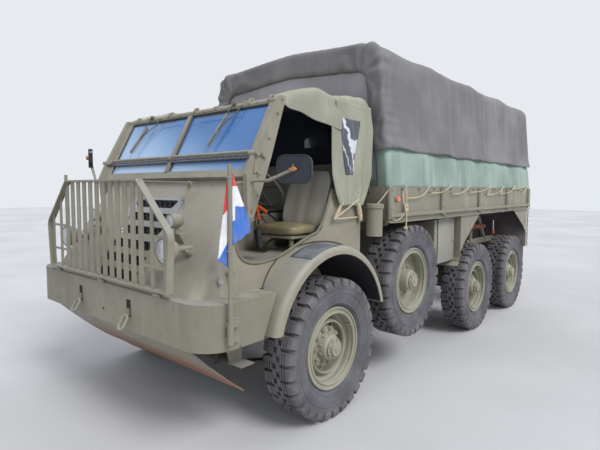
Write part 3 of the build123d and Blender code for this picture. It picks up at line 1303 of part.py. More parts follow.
save("canopy_hoops", canopy_hoops())
save("tool_boxes", tool_boxes())
save("mudguards", mudguards())
save("canisters", canisters())
save("helper_axle", helper_axle())
save("rear_bogie", rear_bogie())
save("rear_axles", rear_axles())
save("driveline", driveline())
save("tow_coupling", [tow_coupling()])
save("lacing_tail", [lacing_tail()])
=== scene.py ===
from math import asin, atan2, cos, exp, hypot, pi, radians, sin, tan, tau

import bmesh
import bpy
from mathutils import Matrix, Vector, noise


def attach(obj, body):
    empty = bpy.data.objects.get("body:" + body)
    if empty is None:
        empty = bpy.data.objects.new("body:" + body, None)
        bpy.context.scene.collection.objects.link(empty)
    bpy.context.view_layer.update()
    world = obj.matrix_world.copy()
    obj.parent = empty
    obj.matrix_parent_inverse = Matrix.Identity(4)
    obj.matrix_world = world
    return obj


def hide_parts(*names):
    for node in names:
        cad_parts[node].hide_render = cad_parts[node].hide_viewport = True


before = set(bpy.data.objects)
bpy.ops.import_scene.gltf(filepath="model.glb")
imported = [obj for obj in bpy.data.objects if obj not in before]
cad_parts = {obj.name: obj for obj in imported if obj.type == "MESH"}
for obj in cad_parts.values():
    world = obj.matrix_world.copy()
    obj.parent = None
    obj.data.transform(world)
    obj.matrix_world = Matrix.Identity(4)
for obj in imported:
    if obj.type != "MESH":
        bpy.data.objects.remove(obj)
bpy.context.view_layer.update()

# Military cargo truck on six wheels, with two raised helper wheels.
# Metres, x to the truck's left, y to the rear, z up.
# Pieces are drawn with the front axle at y = 0 and moved by FRONT_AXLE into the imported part's place.
FRONT_AXLE = -1.971
SIDES = (("left", 1), ("right", -1))
# Each pair of wheels: its place along the truck, its height and whether the rim is a deep dish.
AXLES = {"front": (0.0, 0.505, True), "helper": (1.19, 0.82, False), "middle": (2.83, 0.505, True),
         "rear": (4.19, 0.505, True)}
WHEELS = {f"{row}_{word}": (side, *place) for row, place in AXLES.items() for word, side in SIDES}
TRACK_HALF = 1.05
NOSE_LOW_Y, NOSE_LOW_Z, NOSE_RUN, NOSE_RISE = -1.05, 1.0, 0.485, 0.72
CAB_REAR_Y = 0.55
VENTS_Z = 1.2875
ARCH_Z = 0.585
STAKES = [0.81 + i * 1.045 for i in range(5)]

scene = bpy.context.scene
scene.view_settings.view_transform = "Standard"


def nose_front(z):
    """The nose's front face at a height."""
    return NOSE_LOW_Y + (z - NOSE_LOW_Z) / NOSE_RISE * NOSE_RUN


def cab_side(y, z):
    """The cab side's distance from the middle at a place along it."""
    front = 0.935 - 0.05 * (z - NOSE_LOW_Z) / NOSE_RISE
    return front + (y - nose_front(z)) / (CAB_REAR_Y - nose_front(z)) * (1.0 - front)


# Finishes

class Value:
    """A number that changes over a surface; arithmetic on it adds Math nodes."""

    def __init__(self, shader, socket):
        self.shader = shader
        self.socket = socket

    def math(self, operation, *others):
        node = self.shader.node("ShaderNodeMath", {"operation": operation}, dict(enumerate(others)))
        return Value(self.shader, node.outputs[0])

    def __add__(self, other):
        return self.math("ADD", self, other)

    def __sub__(self, other):
        return self.math("SUBTRACT", self, other)

    def __mul__(self, other):
        return self.math("MULTIPLY", self, other)


class Shader:
    """One finish and the nodes that it is made of."""

    def __init__(self, name, **constants):
        self.material = bpy.data.materials.new(name)
        self.material.use_nodes = True
        self.tree = self.material.node_tree
        self.surface = self.tree.nodes["Principled BSDF"]
        self.heights = []
        for socket, value in constants.items():
            self.surface.inputs[socket.replace("_", " ")].default_value = value

    def node(self, kind, settings=None, values=None):
        """A node: its settings first, then the numbers or links of its sockets."""
        made = self.tree.nodes.new(kind)
        for name, value in (settings or {}).items():
            setattr(made, name, value)
        for socket, value in (values or {}).items():
            self.feed(made.inputs[socket], value)
        return made

    def feed(self, target, value):
        """Puts a value, a link or a number into a socket."""
        if isinstance(value, Value):
            value = value.socket
        if isinstance(value, bpy.types.NodeSocket):
            self.tree.links.new(value, target)
        else:
            target.default_value = value

    def axes(self, source="Object"):
        """The three coordinates, each as a value."""
        read = self.node("ShaderNodeTexCoord").outputs[source]
        parts = self.node("ShaderNodeSeparateXYZ", values={"Vector": read}).outputs
        return [Value(self, part) for part in parts]

    def cloud(self, scale, detail=3, stretch=(1, 1, 1), source="Object"):
        """Soft noise from 0 to 1."""
        read = self.node("ShaderNodeTexCoord").outputs[source]
        placed = self.node("ShaderNodeMapping", values={"Vector": read, "Scale": stretch}).outputs[0]
        values = {"Vector": placed, "Scale": scale, "Detail": detail}
        return Value(self, self.node("ShaderNodeTexNoise", values=values).outputs[0])

    def ramp(self, value, low, high, start=0.0, end=1.0):
        """A value's range from low to high turned into start to end, held outside it."""
        values = {"Value": value, "From Min": low, "From Max": high, "To Min": start, "To Max": end}
        node = self.node("ShaderNodeMapRange", {"interpolation_type": "SMOOTHSTEP"}, values)
        return Value(self, node.outputs[0])

    def drift(self, colour, scale, detail, low, high, darker, lighter):
        """A colour that wanders between darker and lighter."""
        share = self.ramp(self.cloud(scale, detail), low, high)
        return self.mix(share, tinted(colour, darker), tinted(colour, lighter))

    def spots(self, tone, other, share, scale, detail, low, high, **placed):
        """A tone with soft spots of another colour."""
        return self.mix(self.ramp(self.cloud(scale, detail, **placed), low, high) * share, tone, other)

    def weave(self, across, up, pitch, depth):
        """Adds crossing threads to the relief."""
        warp, weft = [(way * (tau / pitch)).math("SINE", way * (tau / pitch)) for way in (across, up)]
        self.raised(warp * weft, depth)

    def band(self, value, low, high, soft):
        """1 between low and high, 0 outside, over a soft edge."""
        return self.ramp(value, low - soft, low + soft) * self.ramp(value, high - soft, high + soft, 1, 0)

    def mix(self, factor, first, second):
        """A colour between two."""
        values = {0: factor, 6: opaque(first), 7: opaque(second)}
        return self.node("ShaderNodeMix", {"data_type": "RGBA"}, values).outputs[2]

    def raised(self, value, depth):
        """Adds a value to the relief, depth metres high."""
        self.heights.append(value * depth)

    def done(self, colour, roughness):
        """Joins the colour, roughness and relief to the surface."""
        self.feed(self.surface.inputs["Base Color"], colour)
        self.feed(self.surface.inputs["Roughness"], roughness)
        if self.heights:
            height = sum(self.heights[1:], self.heights[0])
            bump = self.node("ShaderNodeBump", values={"Strength": 1.0, "Distance": 1.0, "Height": height})
            self.feed(self.surface.inputs["Normal"], bump.outputs[0])
        return self.material


def opaque(colour):
    """A colour with its fourth number."""
    return (*colour, 1.0) if isinstance(colour, tuple) and len(colour) == 3 else colour


def tinted(colour, share):
    """A colour made lighter or darker."""
    return tuple(part * share for part in colour)


DUST, MUD, BARE_METAL = (0.40, 0.40, 0.39), (0.2, 0.175, 0.14), (0.11, 0.085, 0.065)


def paint(name, colour, dust=DUST, dusty=0.5, chips=0.3, gloss=0.43, primer=None):
    """Worn semi-matt paint: drifting tone, streaks, dust on top faces and small chips."""
    s = Shader(name)
    tone = s.drift(colour, 1.1, 4, 0.36, 0.66, 0.86, 1.12)
    tone = s.spots(tone, tinted(colour, 0.72), 0.35, 14, 6, 0.45, 0.75)
    tone = s.spots(tone, tinted(dust, 0.8), 0.4, 7, 5, 0.52, 0.78, stretch=(1.6, 1.6, 0.12))
    up = s.ramp(s.axes("Normal")[2], 0.25, 0.95)
    grain = s.ramp(s.cloud(5, 5), 0.3, 0.7, 0.55, 1.0)
    tone = s.mix(up * grain * dusty, tone, dust)
    _, _, z = s.axes()
    low = s.ramp(z, 1.0, 0.25) * s.ramp(s.cloud(6, 5), 0.35, 0.75) * 0.45
    tone = s.mix(low, tone, MUD)
    chip = s.ramp(s.cloud(46, 4), 0.70, 0.73) * s.ramp(s.cloud(2.2, 2), 0.45, 0.6) * chips
    tone = s.mix(chip, tone, BARE_METAL)
    if primer:
        edge, soft, colour_below = primer
        worn = s.ramp(z + (s.cloud(9, 5) - 0.5) * 0.16, edge + soft, edge - soft)
        tone = s.mix(worn, tone, colour_below)
    s.raised(s.cloud(60, 3), 0.0003)
    s.raised(s.cloud(4, 2), 0.002)
    return s.done(tone, s.ramp(s.cloud(8, 4), 0.3, 0.7, gloss, gloss + 0.22))


def canvas(name, colour, streaks, streak_share=0.5, crease=0.012):
    """Coarse canvas: weave from the sheet's own lengths, creases, faded streaks, grime and painted light on
    upward faces.
    """
    s = Shader(name)
    across, up_cloth, _ = s.axes("UV")
    s.weave(across, up_cloth, CANVAS_THREAD, 0.00025)
    s.raised(s.cloud(3.2, 5), crease)
    s.raised(s.cloud(19, 4), 0.0022)
    tone = s.drift(colour, 1.6, 5, 0.34, 0.68, 0.82, 1.15)
    tone = s.spots(tone, streaks, streak_share, 6, 5, 0.5, 0.74, stretch=(1, 1, 0.14))
    # Painted light: upward faces are made paler, as if lit from above.
    up = s.ramp(s.axes("Normal")[2], 0.3, 0.95) * 0.35
    tone = s.mix(up, tone, tinted(colour, 1.5))
    return s.done(s.spots(tone, tinted(colour, 0.6), 0.3, 70, 3, 0.62, 0.72), 0.88)


def rubber(name, dark, painted_reflection_mask, dust):
    """Dusty tyre rubber."""
    s = Shader(name)
    tone = s.mix(s.ramp(s.cloud(5, 5), 0.3, 0.7), dark, painted_reflection_mask)
    s.raised(s.cloud(40, 4), 0.0008)
    return s.done(s.spots(tone, dust, 0.5, 22, 5, 0.55, 0.75), 0.72)


def plain(name, colour, roughness=0.6, spread=0.15, metallic=0.0, scale=30):
    """A small part's finish: one colour with some variation and a fine grain."""
    s = Shader(name, Metallic=metallic)
    tone = s.drift(colour, scale, 5, 0.3, 0.7, 1 - spread, 1 + spread)
    s.raised(s.cloud(scale * 3, 4), 0.0004)
    return s.done(tone, s.ramp(s.cloud(scale, 3), 0.3, 0.7, roughness - 0.06, roughness + 0.06))


def pane():
    """Window glass with a painted reflection of the sky, deep blue at the driver's top corner and paler low
    down.
    """
    s = Shader("window glass", IOR=1.5, Alpha=0.93)
    x, _, z = s.axes()
    sky_reflection_slope = x * 0.55 + (z - 1.95) * 1.6 + (s.cloud(1.6, 2) - 0.5) * 0.5
    return s.done(s.mix(s.ramp(sky_reflection_slope, -0.55, 0.5), (0.40, 0.56, 0.78), (0.065, 0.19, 0.45)), 0.05)


def panel_with_painted_sheen():
    """Glossy painted sheet in a colour lifted paler as painted light, with soft upright streaks of painted
    sheen.
    """
    s = Shader("seat back", Coat_Weight=0.4)
    # The paler upright streaks are a painted sheen.
    sheen_streak = s.ramp(s.cloud(4.5, 2, stretch=(1.3, 0.2, 0.1)), 0.38, 0.62)
    tone = s.mix(sheen_streak, (0.32, 0.29, 0.225), (0.50, 0.475, 0.405))
    s.raised(s.cloud(7, 2), 0.002)
    return s.done(tone, 0.3)


def nose_paint():
    """The paint of the nose panel, with a painted reflection of the sky that turns it paler and bluer
    upwards; what lies behind its plate, the mesh, is black.
    """
    s = Shader("nose panel paint")
    _, y, z = s.axes()
    lean = atan2(NOSE_RUN, NOSE_RISE)
    depth = z * sin(lean) - y * cos(lean)
    plane = VENTS_Z * sin(lean) - (nose_front(VENTS_Z) + FRONT_AXLE) * cos(lean)
    tone = s.drift(OLIVE, 3, 5, 0.35, 0.68, 0.95, 1.2)
    # Painted reflection: the nose turns paler and bluer upwards, as the sky shows in it.
    tone = s.mix(s.ramp(z, 1.1, 1.65) * 0.85, tone, (0.34, 0.36, 0.40))
    tone = s.spots(tone, (0.40, 0.40, 0.38), 0.4, 9, 5, 0.55, 0.75)
    tone = s.mix(s.ramp(depth, plane + 0.0016, plane + 0.0022, 1, 0), tone, (0.012, 0.012, 0.013))
    s.raised(s.cloud(60, 3), 0.0003)
    return s.done(tone, 0.55)


def flag_finish():
    """Thin woven cloth in three plain bands, read from the flag's own height."""
    s = Shader("flag cloth")
    across, up, _ = s.axes("UV")
    wander = (s.cloud(30, 2, source="UV") - 0.5) * 0.004
    pleat = s.ramp(across, 0.1340, 0.1345) - s.ramp(across, 0.1630, 0.1650)
    tone = s.mix(s.ramp(up + wander + pleat * 0.054, 0.1455, 0.1478), FLAG_BLUE, FLAG_WHITE)
    tone = s.mix(s.ramp(up + wander, 0.2922, 0.2945), tone, FLAG_RED)
    s.weave(across, up, FLAG_THREAD, 0.0001)
    return s.done(s.spots(tone, (0.3, 0.29, 0.3), 0.25, 9, 4, 0.4, 0.75), 0.75)


def clear_film():
    """A crumpled clear window in the side curtain: dark with painted shade of the cab behind it, and pale
    slanting bands of painted reflected light.
    """
    s = Shader("curtain window", Coat_Weight=0.6)
    across, down, _ = s.axes("UV")
    bend = (s.cloud(16, 3, source="UV") - 0.5) * 0.10
    slant = across - down * 0.42 + bend
    sheen_streak = s.band(slant, 0.012, 0.042, 0.007)
    patch = s.band(across + bend, 0.105, 0.19, 0.01) * s.band(down + bend, 0.15, 0.26, 0.01)
    thin = s.band(slant, -0.088, -0.074, 0.004) * 0.7
    painted_reflection_mask = sheen_streak.math("MAXIMUM", sheen_streak.math("MAXIMUM", sheen_streak, patch), thin)
    # Painted shade of the dark cab behind the film, crossed by pale bands of painted reflection.
    tone = s.mix(painted_reflection_mask, (0.045, 0.05, 0.07), (0.60, 0.62, 0.68))
    s.raised(s.cloud(30, 3, source="UV"), 0.002)
    return s.done(tone, 0.15)


def lens(name, colour, ribs):
    """A moulded lamp lens with fine upright ribs."""
    s = Shader(name, Coat_Weight=1.0)
    x, _, _ = s.axes()
    s.raised((x * ribs).math("SINE", x * ribs), 0.0003)
    return s.done(s.drift(colour, 26, 4, 0.3, 0.75, 0.75, 1), 0.1)


def gritty(name, colour):
    """A sanded non-slip patch."""
    s = Shader(name)
    tone = s.drift(colour, 9, 5, 0.35, 0.7, 0.8, 1.25)
    tone = s.spots(tone, tinted(colour, 1.7), 0.35, 160, 3, 0.5, 0.7)
    s.raised(s.cloud(420, 3), 0.0012)
    return s.done(tone, 0.9)


def rope_finish(name, colour):
    """Laid rope: fine slanting strands."""
    s = Shader(name)
    x, y, z = s.axes()
    turn = (x + y + z) * 620.0
    s.raised(turn.math("SINE", turn), 0.0007)
    return s.done(s.drift(colour, 40, 4, 0.3, 0.7, 0.75, 1), 0.85)


OLIVE = (0.250, 0.232, 0.176)
FLAG_RED, FLAG_WHITE, FLAG_BLUE = (0.66, 0.05, 0.045), (0.80, 0.80, 0.82), (0.045, 0.16, 0.56)
CANVAS_THREAD, FLAG_THREAD = 0.002, 0.0016
olive = paint("olive paint", OLIVE)
# A paler copy of the olive paint for the cab and front fenders: painted light, for the sky light on them.
olive_cab_lit = paint("olive cab paint", (0.290, 0.267, 0.206))
# A darker copy of the olive paint for the front bumper: painted shade on its front face.
olive_bumper_shaded = paint("olive bumper paint", (0.230, 0.213, 0.162))
# A much darker copy of the olive paint, with darker dust: painted shade, used under the truck and on a few
# small parts.
olive_under_shaded = paint("olive paint under", (0.105, 0.098, 0.076), (0.2, 0.18, 0.15), dusty=0.6, gloss=0.65)
olive_belly = paint("olive paint belly", OLIVE, primer=(0.5, 0.1, (0.27, 0.135, 0.085)))
wheel_paint = paint("wheel paint", (0.285, 0.275, 0.205), dusty=0.35, chips=0.5)
tyre_rubber = rubber("tyre wall rubber", (0.070, 0.069, 0.078), (0.118, 0.117, 0.130), (0.19, 0.175, 0.17))
lug_rubber = rubber("tyre tread rubber", (0.085, 0.078, 0.083), (0.150, 0.138, 0.142), (0.23, 0.21, 0.20))
dark_canvas = canvas("dark canvas", (0.185, 0.178, 0.184), (0.27, 0.262, 0.268), 0.35)
# Paler than the dark cover: partly the front panel's own colour, partly painted light on the front face.
face_canvas = canvas("front canvas", (0.315, 0.305, 0.330), (0.345, 0.335, 0.355), 0.2, crease=0.004)
green_canvas = canvas("green canvas", (0.250, 0.332, 0.287), (0.37, 0.48, 0.42), 0.6)
sage_canvas = canvas("sage canvas", (0.318, 0.325, 0.250), (0.405, 0.415, 0.37), 0.45, crease=0.01)
# The inside face of the cab canvas is painted near-black blue: painted shade inside the cab.
canvas_inside_shaded = canvas("inside of the cab canvas", (0.028, 0.036, 0.056), (0.042, 0.050, 0.070), 0.2)
glass = pane()
black = plain("black rubber", (0.018, 0.018, 0.02), 0.5)
cream_rope = rope_finish("cream rope", (0.66, 0.56, 0.38))
grey_rope = rope_finish("grey rope", (0.42, 0.39, 0.33))
seat_vinyl = plain("seat vinyl", (0.225, 0.19, 0.11), 0.45, scale=9)
seat_panel = panel_with_painted_sheen()
steel = plain("worn steel", (0.3, 0.29, 0.27), 0.4, metallic=0.8)
rust = plain("rusty steel", (0.42, 0.2, 0.08), 0.7, spread=0.4)
nose_finish = nose_paint()
flag_cloth = flag_finish()
film = clear_film()
clear_lens = lens("clear lens", (0.80, 0.82, 0.84), 900.0)
orange_lens = lens("orange lens", (0.75, 0.17, 0.03), 500.0)
red_lens = lens("red lens", (0.42, 0.03, 0.02), 500.0)
patch_grit = gritty("non-slip patch", (0.15, 0.162, 0.185))
shelf_grit = gritty("shelf patch", (0.25, 0.24, 0.20))
control_grey = plain("control grey", (0.05, 0.05, 0.047), 0.4)
# Dark grey bar rubber; its faint blue is a painted reflection.
bar_grey = plain("bar rubber", (0.09, 0.095, 0.11), 0.3)
box_door = paint("box door paint", (0.290, 0.282, 0.242), dusty=0.3)
flap_rubber = plain("mud flap", (0.15, 0.128, 0.135), 0.6, spread=0.3, scale=6)
# Near-black for the lining inside the wheel arches: painted shade.
arch_painted_shade = plain("painted shade in the arch", (0.014, 0.013, 0.018), 0.9, spread=0.3, scale=6)
primer_red = plain("red primer", (0.28, 0.09, 0.07), 0.75, spread=0.3)
orange_sleeve = plain("orange sleeve", (0.75, 0.12, 0.02), 0.45)
seam_dark = rope_finish("seam cord", (0.07, 0.066, 0.055))
bead = rope_finish("door bead", (0.21, 0.2, 0.14))
chrome = plain("lamp ring", (0.55, 0.55, 0.53), 0.25, metallic=0.9, spread=0.1)
# Near-black mirror shells; the deep blue in it is a painted reflection of the sky.
black_gloss = plain("mirror shell", (0.012, 0.016, 0.026), 0.25, spread=0.3, scale=8)
# Near-black for holes and hollows: painted shade.
painted_shade_inside = plain("dark inside", (0.01, 0.01, 0.011), 0.8)
mirror_glass = plain("mirror glass", (0.7, 0.72, 0.75), 0.06, metallic=1.0, spread=0.03)


# Forms

def new_piece(name, form, finish, slot, body="root", smooth=35, stands_for=()):
    """Turns a drawn form into a piece that rides on one of the truck's bodies."""
    bmesh.ops.translate(form, verts=form.verts, vec=(0, FRONT_AXLE, 0))
    mesh = bpy.data.meshes.new(name)
    form.to_mesh(mesh)
    form.free()
    mesh.shade_smooth()
    mesh.set_sharp_from_angle(angle=radians(smooth))
    for each in finish if isinstance(finish, list) else [finish]:
        mesh.materials.append(each)
    piece = bpy.data.objects.new(name, mesh)
    scene.collection.objects.link(piece)
    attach(piece, body)
    if stands_for:
        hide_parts(*stands_for)
    return piece


def block(form, low, high, soft=0.003, place=Matrix.Identity(4)):
    """A block between two corners with softened edges."""
    middle = [(a + b) / 2 for a, b in zip(low, high)]
    size = [abs(b - a) for a, b in zip(low, high)]
    shape = place @ Matrix.Translation(middle) @ Matrix.Diagonal((*size, 1))
    made = bmesh.ops.create_cube(form, size=1, matrix=shape)
    if soft:
        edges = list({edge for vert in made["verts"] for edge in vert.link_edges})
        bmesh.ops.bevel(form, geom=edges, offset=min(soft, min(size) * 0.4), offset_type="OFFSET",
                        segments=2, profile=0.5, affect="EDGES", material=-1)


def rod(form, start, end, radius, sides=16, end_radius=None):
    """A round or, with few sides, angular bar between two points."""
    start, end = Vector(start), Vector(end)
    line = end - start
    turn = line.to_track_quat("Z", "Y").to_matrix().to_4x4()
    bmesh.ops.create_cone(form, cap_ends=True, segments=sides, radius1=radius,
                          radius2=radius if end_radius is None else end_radius,
                          depth=line.length, matrix=Matrix.Translation((start + end) / 2) @ turn)


def nut(form, place, way, size, tall, stud=True):
    """A hexagon nut on a face, with the end of its stud."""
    place, way = Vector(place), Vector(way).normalized()
    rod(form, place - way * 0.001, place + way * tall, size, 6, size * 0.94)
    if stud:
        rod(form, place, place + way * tall * 1.5, size * 0.5, 8, size * 0.42)


def spun(form, outline, steps):
    """A ring about the x axis from (x, radius) corners."""
    old = set(form.verts)
    verts = [form.verts.new((x, 0, radius)) for x, radius in outline]
    edges = [form.edges.new(pair) for pair in zip(verts, verts[1:] + verts[:1])]
    bmesh.ops.spin(form, geom=verts + edges, cent=(0, 0, 0), axis=(1, 0, 0), angle=tau, steps=steps,
                   use_merge=True)
    faces = list({face for vert in form.verts if vert not in old for face in vert.link_faces})
    bmesh.ops.recalc_face_normals(form, faces=faces)


def tube(form, points, radius, sides=10, closed=True):
    """A round bar bent along a line of points."""
    points = [Vector(point) for point in points]
    rings = []
    for i, point in enumerate(points):
        before = points[i - 1] if closed or i else point
        after = points[(i + 1) % len(points)] if closed or i < len(points) - 1 else point
        turn = (after - before).to_track_quat("Z", "Y").to_matrix().to_4x4()
        place = Matrix.Translation(point) @ turn
        made = bmesh.ops.create_circle(form, segments=sides, radius=radius, matrix=place)
        rings.append(list({edge for vert in made["verts"] for edge in vert.link_edges}))
    for first, second in zip(rings, rings[1:] + (rings[:1] if closed else [])):
        bmesh.ops.bridge_loops(form, edges=first + second)
    if not closed:
        for last in (rings[0], rings[-1]):
            bmesh.ops.contextual_create(form, geom=last)


def plate(form, outline, thick, place=Matrix.Identity(4), soft=0.0015):
    """A flat plate with an outline of (x, y) corners, thick along z."""
    verts = [form.verts.new(place @ Vector((x, y, 0))) for x, y in outline]
    face = form.faces.new(verts)
    way = place.to_3x3() @ Vector((0, 0, thick))
    swept = bmesh.ops.extrude_face_region(form, geom=[face])["geom"]
    moved = [item for item in swept if isinstance(item, bmesh.types.BMVert)]
    bmesh.ops.translate(form, verts=moved, vec=way)
    faces = list({near for vert in verts + moved for near in vert.link_faces})
    bmesh.ops.recalc_face_normals(form, faces=faces)
    if soft:
        edges = list({edge for vert in verts + moved for edge in vert.link_edges})
        bmesh.ops.bevel(form, geom=edges, offset=soft, offset_type="OFFSET", segments=1, profile=0.5,
                        affect="EDGES", material=-1)


def along(y_way, x_way=(1, 0, 0), origin=(0, 0, 0)):
    """A place whose x and y axes run along two directions."""
    x_axis, y_axis = Vector(x_way).normalized(), Vector(y_way).normalized()
    turn = Matrix((x_axis, y_axis, x_axis.cross(y_axis))).transposed().to_4x4()
    return Matrix.Translation(origin) @ turn


def flipped(form):
    """Turns a form over to the other side of the truck."""
    bmesh.ops.scale(form, verts=form.verts, vec=(-1, 1, 1))
    bmesh.ops.reverse_faces(form, faces=form.faces)


def turned(form, angle, axis="X"):
    """Turns a form about the origin."""
    bmesh.ops.rotate(form, verts=form.verts, cent=(0, 0, 0), matrix=Matrix.Rotation(angle, 3, axis))


def poured(form, other):
    """Adds a finished form to another one."""
    mesh = bpy.data.meshes.new("poured")
    other.to_mesh(mesh)
    other.free()
    form.from_mesh(mesh)
    bpy.data.meshes.remove(mesh)


def angles(count, offset=0.0):
    """Equal steps round a full turn."""
    return [tau * (k + offset) / count for k in range(count)]


def ring(form, centre, radius, thick, plane, sides, count, tall=None):
    """A bar bent to a circle, or to an oval with its second axis tall, in the plane of two axes."""
    points = []
    for angle in angles(count):
        point = list(centre)
        for axis, part in zip(plane, (radius * cos(angle), (tall or radius) * sin(angle))):
            point["xyz".index(axis)] += part
        points.append(point)
    tube(form, points, thick, sides)


def sided(value, side, put):
    """A place, written as a tuple for the left side, on the given side; any other value as it is."""
    if not (isinstance(value, tuple) and len(value) == 3):
        return value
    place = (side * value[0], *value[1:])
    return put(*place) if put else place


def fittings(name, finish, slot, rows, single=(), put=None, **options):
    """A piece made of simple shapes: rows are drawn on both sides of the truck, single ones once."""
    form = bmesh.new()
    for side, shapes in ((1, rows), (-1, rows), (1, single)):
        for draw, *values in shapes:
            draw(form, *[sided(value, side, put) for value in values])
    return new_piece(name, form, finish, slot, **options)


def both(lines):
    """Lines drawn for the left side, with their twins on the right."""
    return [[(side * x, y, z) for x, y, z in line] for side in (1, -1) for line in lines]


def rounded_line(corners, radii, steps=9):
    """Points along an open line whose inner corners are rounded."""
    points = [Vector(corners[0])]
    for before, corner, after, radius in zip(corners, corners[1:], corners[2:], radii):
        corner = Vector(corner)
        into = (corner - Vector(before)).normalized()
        out = (Vector(after) - corner).normalized()
        turn = atan2(into.x * out.y - into.y * out.x, into.dot(out))
        aside = Vector((-into.y, into.x)) * (1 if turn > 0 else -1)
        start = corner - into * radius * tan(abs(turn) / 2)
        for k in range(steps + 1):
            angle = abs(turn) * k / steps
            points.append(start + into * radius * sin(angle) + aside * radius * (1 - cos(angle)))
    points.append(Vector(corners[-1]))
    return points


class Walk:
    """A line walked by its length: each place's point and the way out from it."""

    def __init__(self, corners, radii):
        self.points = rounded_line(corners, radii)
        self.marks = [0.0]
        for a, b in zip(self.points, self.points[1:]):
            self.marks.append(self.marks[-1] + (b - a).length)
        self.length = self.marks[-1]

    def direction(self, i):
        """The line's direction at one of its points."""
        a = self.points[max(i - 1, 0)]
        b = self.points[min(i + 1, len(self.points) - 1)]
        return (b - a).normalized()

    def at(self, distance):
        """The point at a distance along the line, and the outward direction there."""
        distance = min(max(distance, 0.0), self.length)
        i = 0
        while i < len(self.marks) - 2 and self.marks[i + 1] < distance:
            i += 1
        share = (distance - self.marks[i]) / max(self.marks[i + 1] - self.marks[i], 1e-9)
        point = self.points[i].lerp(self.points[i + 1], share)
        way = self.direction(i).lerp(self.direction(i + 1), share).normalized()
        return point, Vector((way.y, -way.x))


def swing(a, b=0.0, c=0.0):
    """Smooth wandering between about -1 and 1."""
    return noise.noise(Vector((a, b, c))) * 1.6


def ease(value, low, high):
    """0 below low, 1 above high and smooth between."""
    share = min(max((value - low) / (high - low), 0.0), 1.0)
    return share * share * (3 - 2 * share)


def cloth(name, flat, cells, put, finish, slot, stands_for=(), wall=0.003):
    """A sheet of cloth: put(u, v), with u and v from 0 to 1, gives the place of each point of it."""
    form = bmesh.new()
    bmesh.ops.create_grid(form, x_segments=cells[0], y_segments=cells[1], size=0.5)
    layer = form.loops.layers.uv.new("UVMap")
    for face in form.faces:
        for loop in face.loops:
            loop[layer].uv = ((loop.vert.co.x + 0.5) * flat[0], (loop.vert.co.y + 0.5) * flat[1])
    for vert in form.verts:
        vert.co = put(vert.co.x + 0.5, vert.co.y + 0.5)
    piece = new_piece(name, form, finish, slot, smooth=80, stands_for=stands_for)
    solid = piece.modifiers.new("thickness", "SOLIDIFY")
    solid.thickness = wall
    solid.offset = 0
    return piece


def rope_line(name, lines, radius, finish):
    """Ropes or bent rods, each a smooth line drawn along its control points."""
    curve = bpy.data.curves.new(name, "CURVE")
    curve.dimensions = "3D"
    curve.bevel_depth = radius
    curve.bevel_resolution = 3
    curve.resolution_u = 8
    curve.use_fill_caps = True
    for points in lines:
        spline = curve.splines.new("NURBS")
        spline.points.add(len(points) - 1)
        for target, (x, y, z) in zip(spline.points, points):
            target.co = (x, y + FRONT_AXLE, z, 1)
        spline.order_u = 3
        spline.use_endpoint_u = True
    curve.materials.append(finish)
    piece = bpy.data.objects.new(name, curve)
    scene.collection.objects.link(piece)
    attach(piece, "root")
    return piece


# The imported part's own nodes keep their shapes and get these finishes.
# The parts under the truck take the darker olive, a painted shade.
UNDER_NODES = ("front_suspension", "chassis_frame", "engine_block", "helper_axle", "rear_bogie",
               "rear_axles", "driveline", "knuckle_left", "knuckle_right", "tow_coupling", "bed_floor")
# The cab, fenders and bumper take the painted-light and painted-shade copies of the olive paint.
OTHER_FINISHES = {"belly_plate": olive_belly, "windscreen_glass": glass, "mirrors": black_gloss,
                  "nose_panel": nose_finish, "cab_controls": control_grey, "cab_body": olive_cab_lit,
                  "front_fenders": olive_cab_lit, "front_bumper": olive_bumper_shaded}
for name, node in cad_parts.items():
    finish = OTHER_FINISHES.get(name, olive_under_shaded if name in UNDER_NODES else olive)
    if name.startswith("rim_"):
        finish = wheel_paint
    for holder in node.material_slots:
        holder.material = finish


# Tyres

TYRE_HALF = [(0.0827, 0.2545), (0.0827, 0.298), (0.1, 0.31), (0.111, 0.322), (0.117, 0.325),
             (0.1175, 0.331), (0.115, 0.334), (0.1235, 0.37), (0.1262, 0.400), (0.1298, 0.403),
             (0.1298, 0.409), (0.1265, 0.412), (0.1255, 0.432), (0.1275, 0.436), (0.1255, 0.447),
             (0.118, 0.462), (0.106, 0.474), (0.088, 0.480), (0.045, 0.482)]
TREAD_BASE, CROWN = 0.478, 0.5026
SHOULDER = [(0.079, 0.480), (0.079, CROWN), (0.112, CROWN - 0.001), (0.1245, 0.492), (0.1296, 0.470),
            (0.1298, 0.450), (0.121, 0.440), (0.112, 0.470)]
LUG_HALF, LUGS = 0.041, 30


def lug_form():
    """One step of the tread: a shoulder block, two bars, side-wall ribs and a crown block."""
    lug = bmesh.new()
    place = along((0, 0, 1), origin=(0, LUG_HALF, 0))
    plate(lug, SHOULDER, 2 * LUG_HALF, place, 0)
    for vert in lug.verts:
        vert.co.y *= 0.97 - 0.20 * ease(vert.co.x, 0.10, 0.122) + (0.06 if vert.co.z < 0.485 else 0.0)
    for low, high in ((0.034, 0.0492), (0.0567, 0.0712)):
        block(lug, (low, -LUG_HALF, TREAD_BASE), (high, LUG_HALF, CROWN), 0)
    for y in (-0.015, 0.017):
        block(lug, (0.1235, y - 0.0035, 0.455), (0.1299, y + 0.0035, TREAD_BASE), 0)
    block(lug, (-0.030, -0.045, TREAD_BASE), (-0.003, 0.022, CROWN), 0)
    bmesh.ops.recalc_face_normals(lug, faces=lug.faces)
    for face in lug.faces:
        face.material_index = 1
    return lug


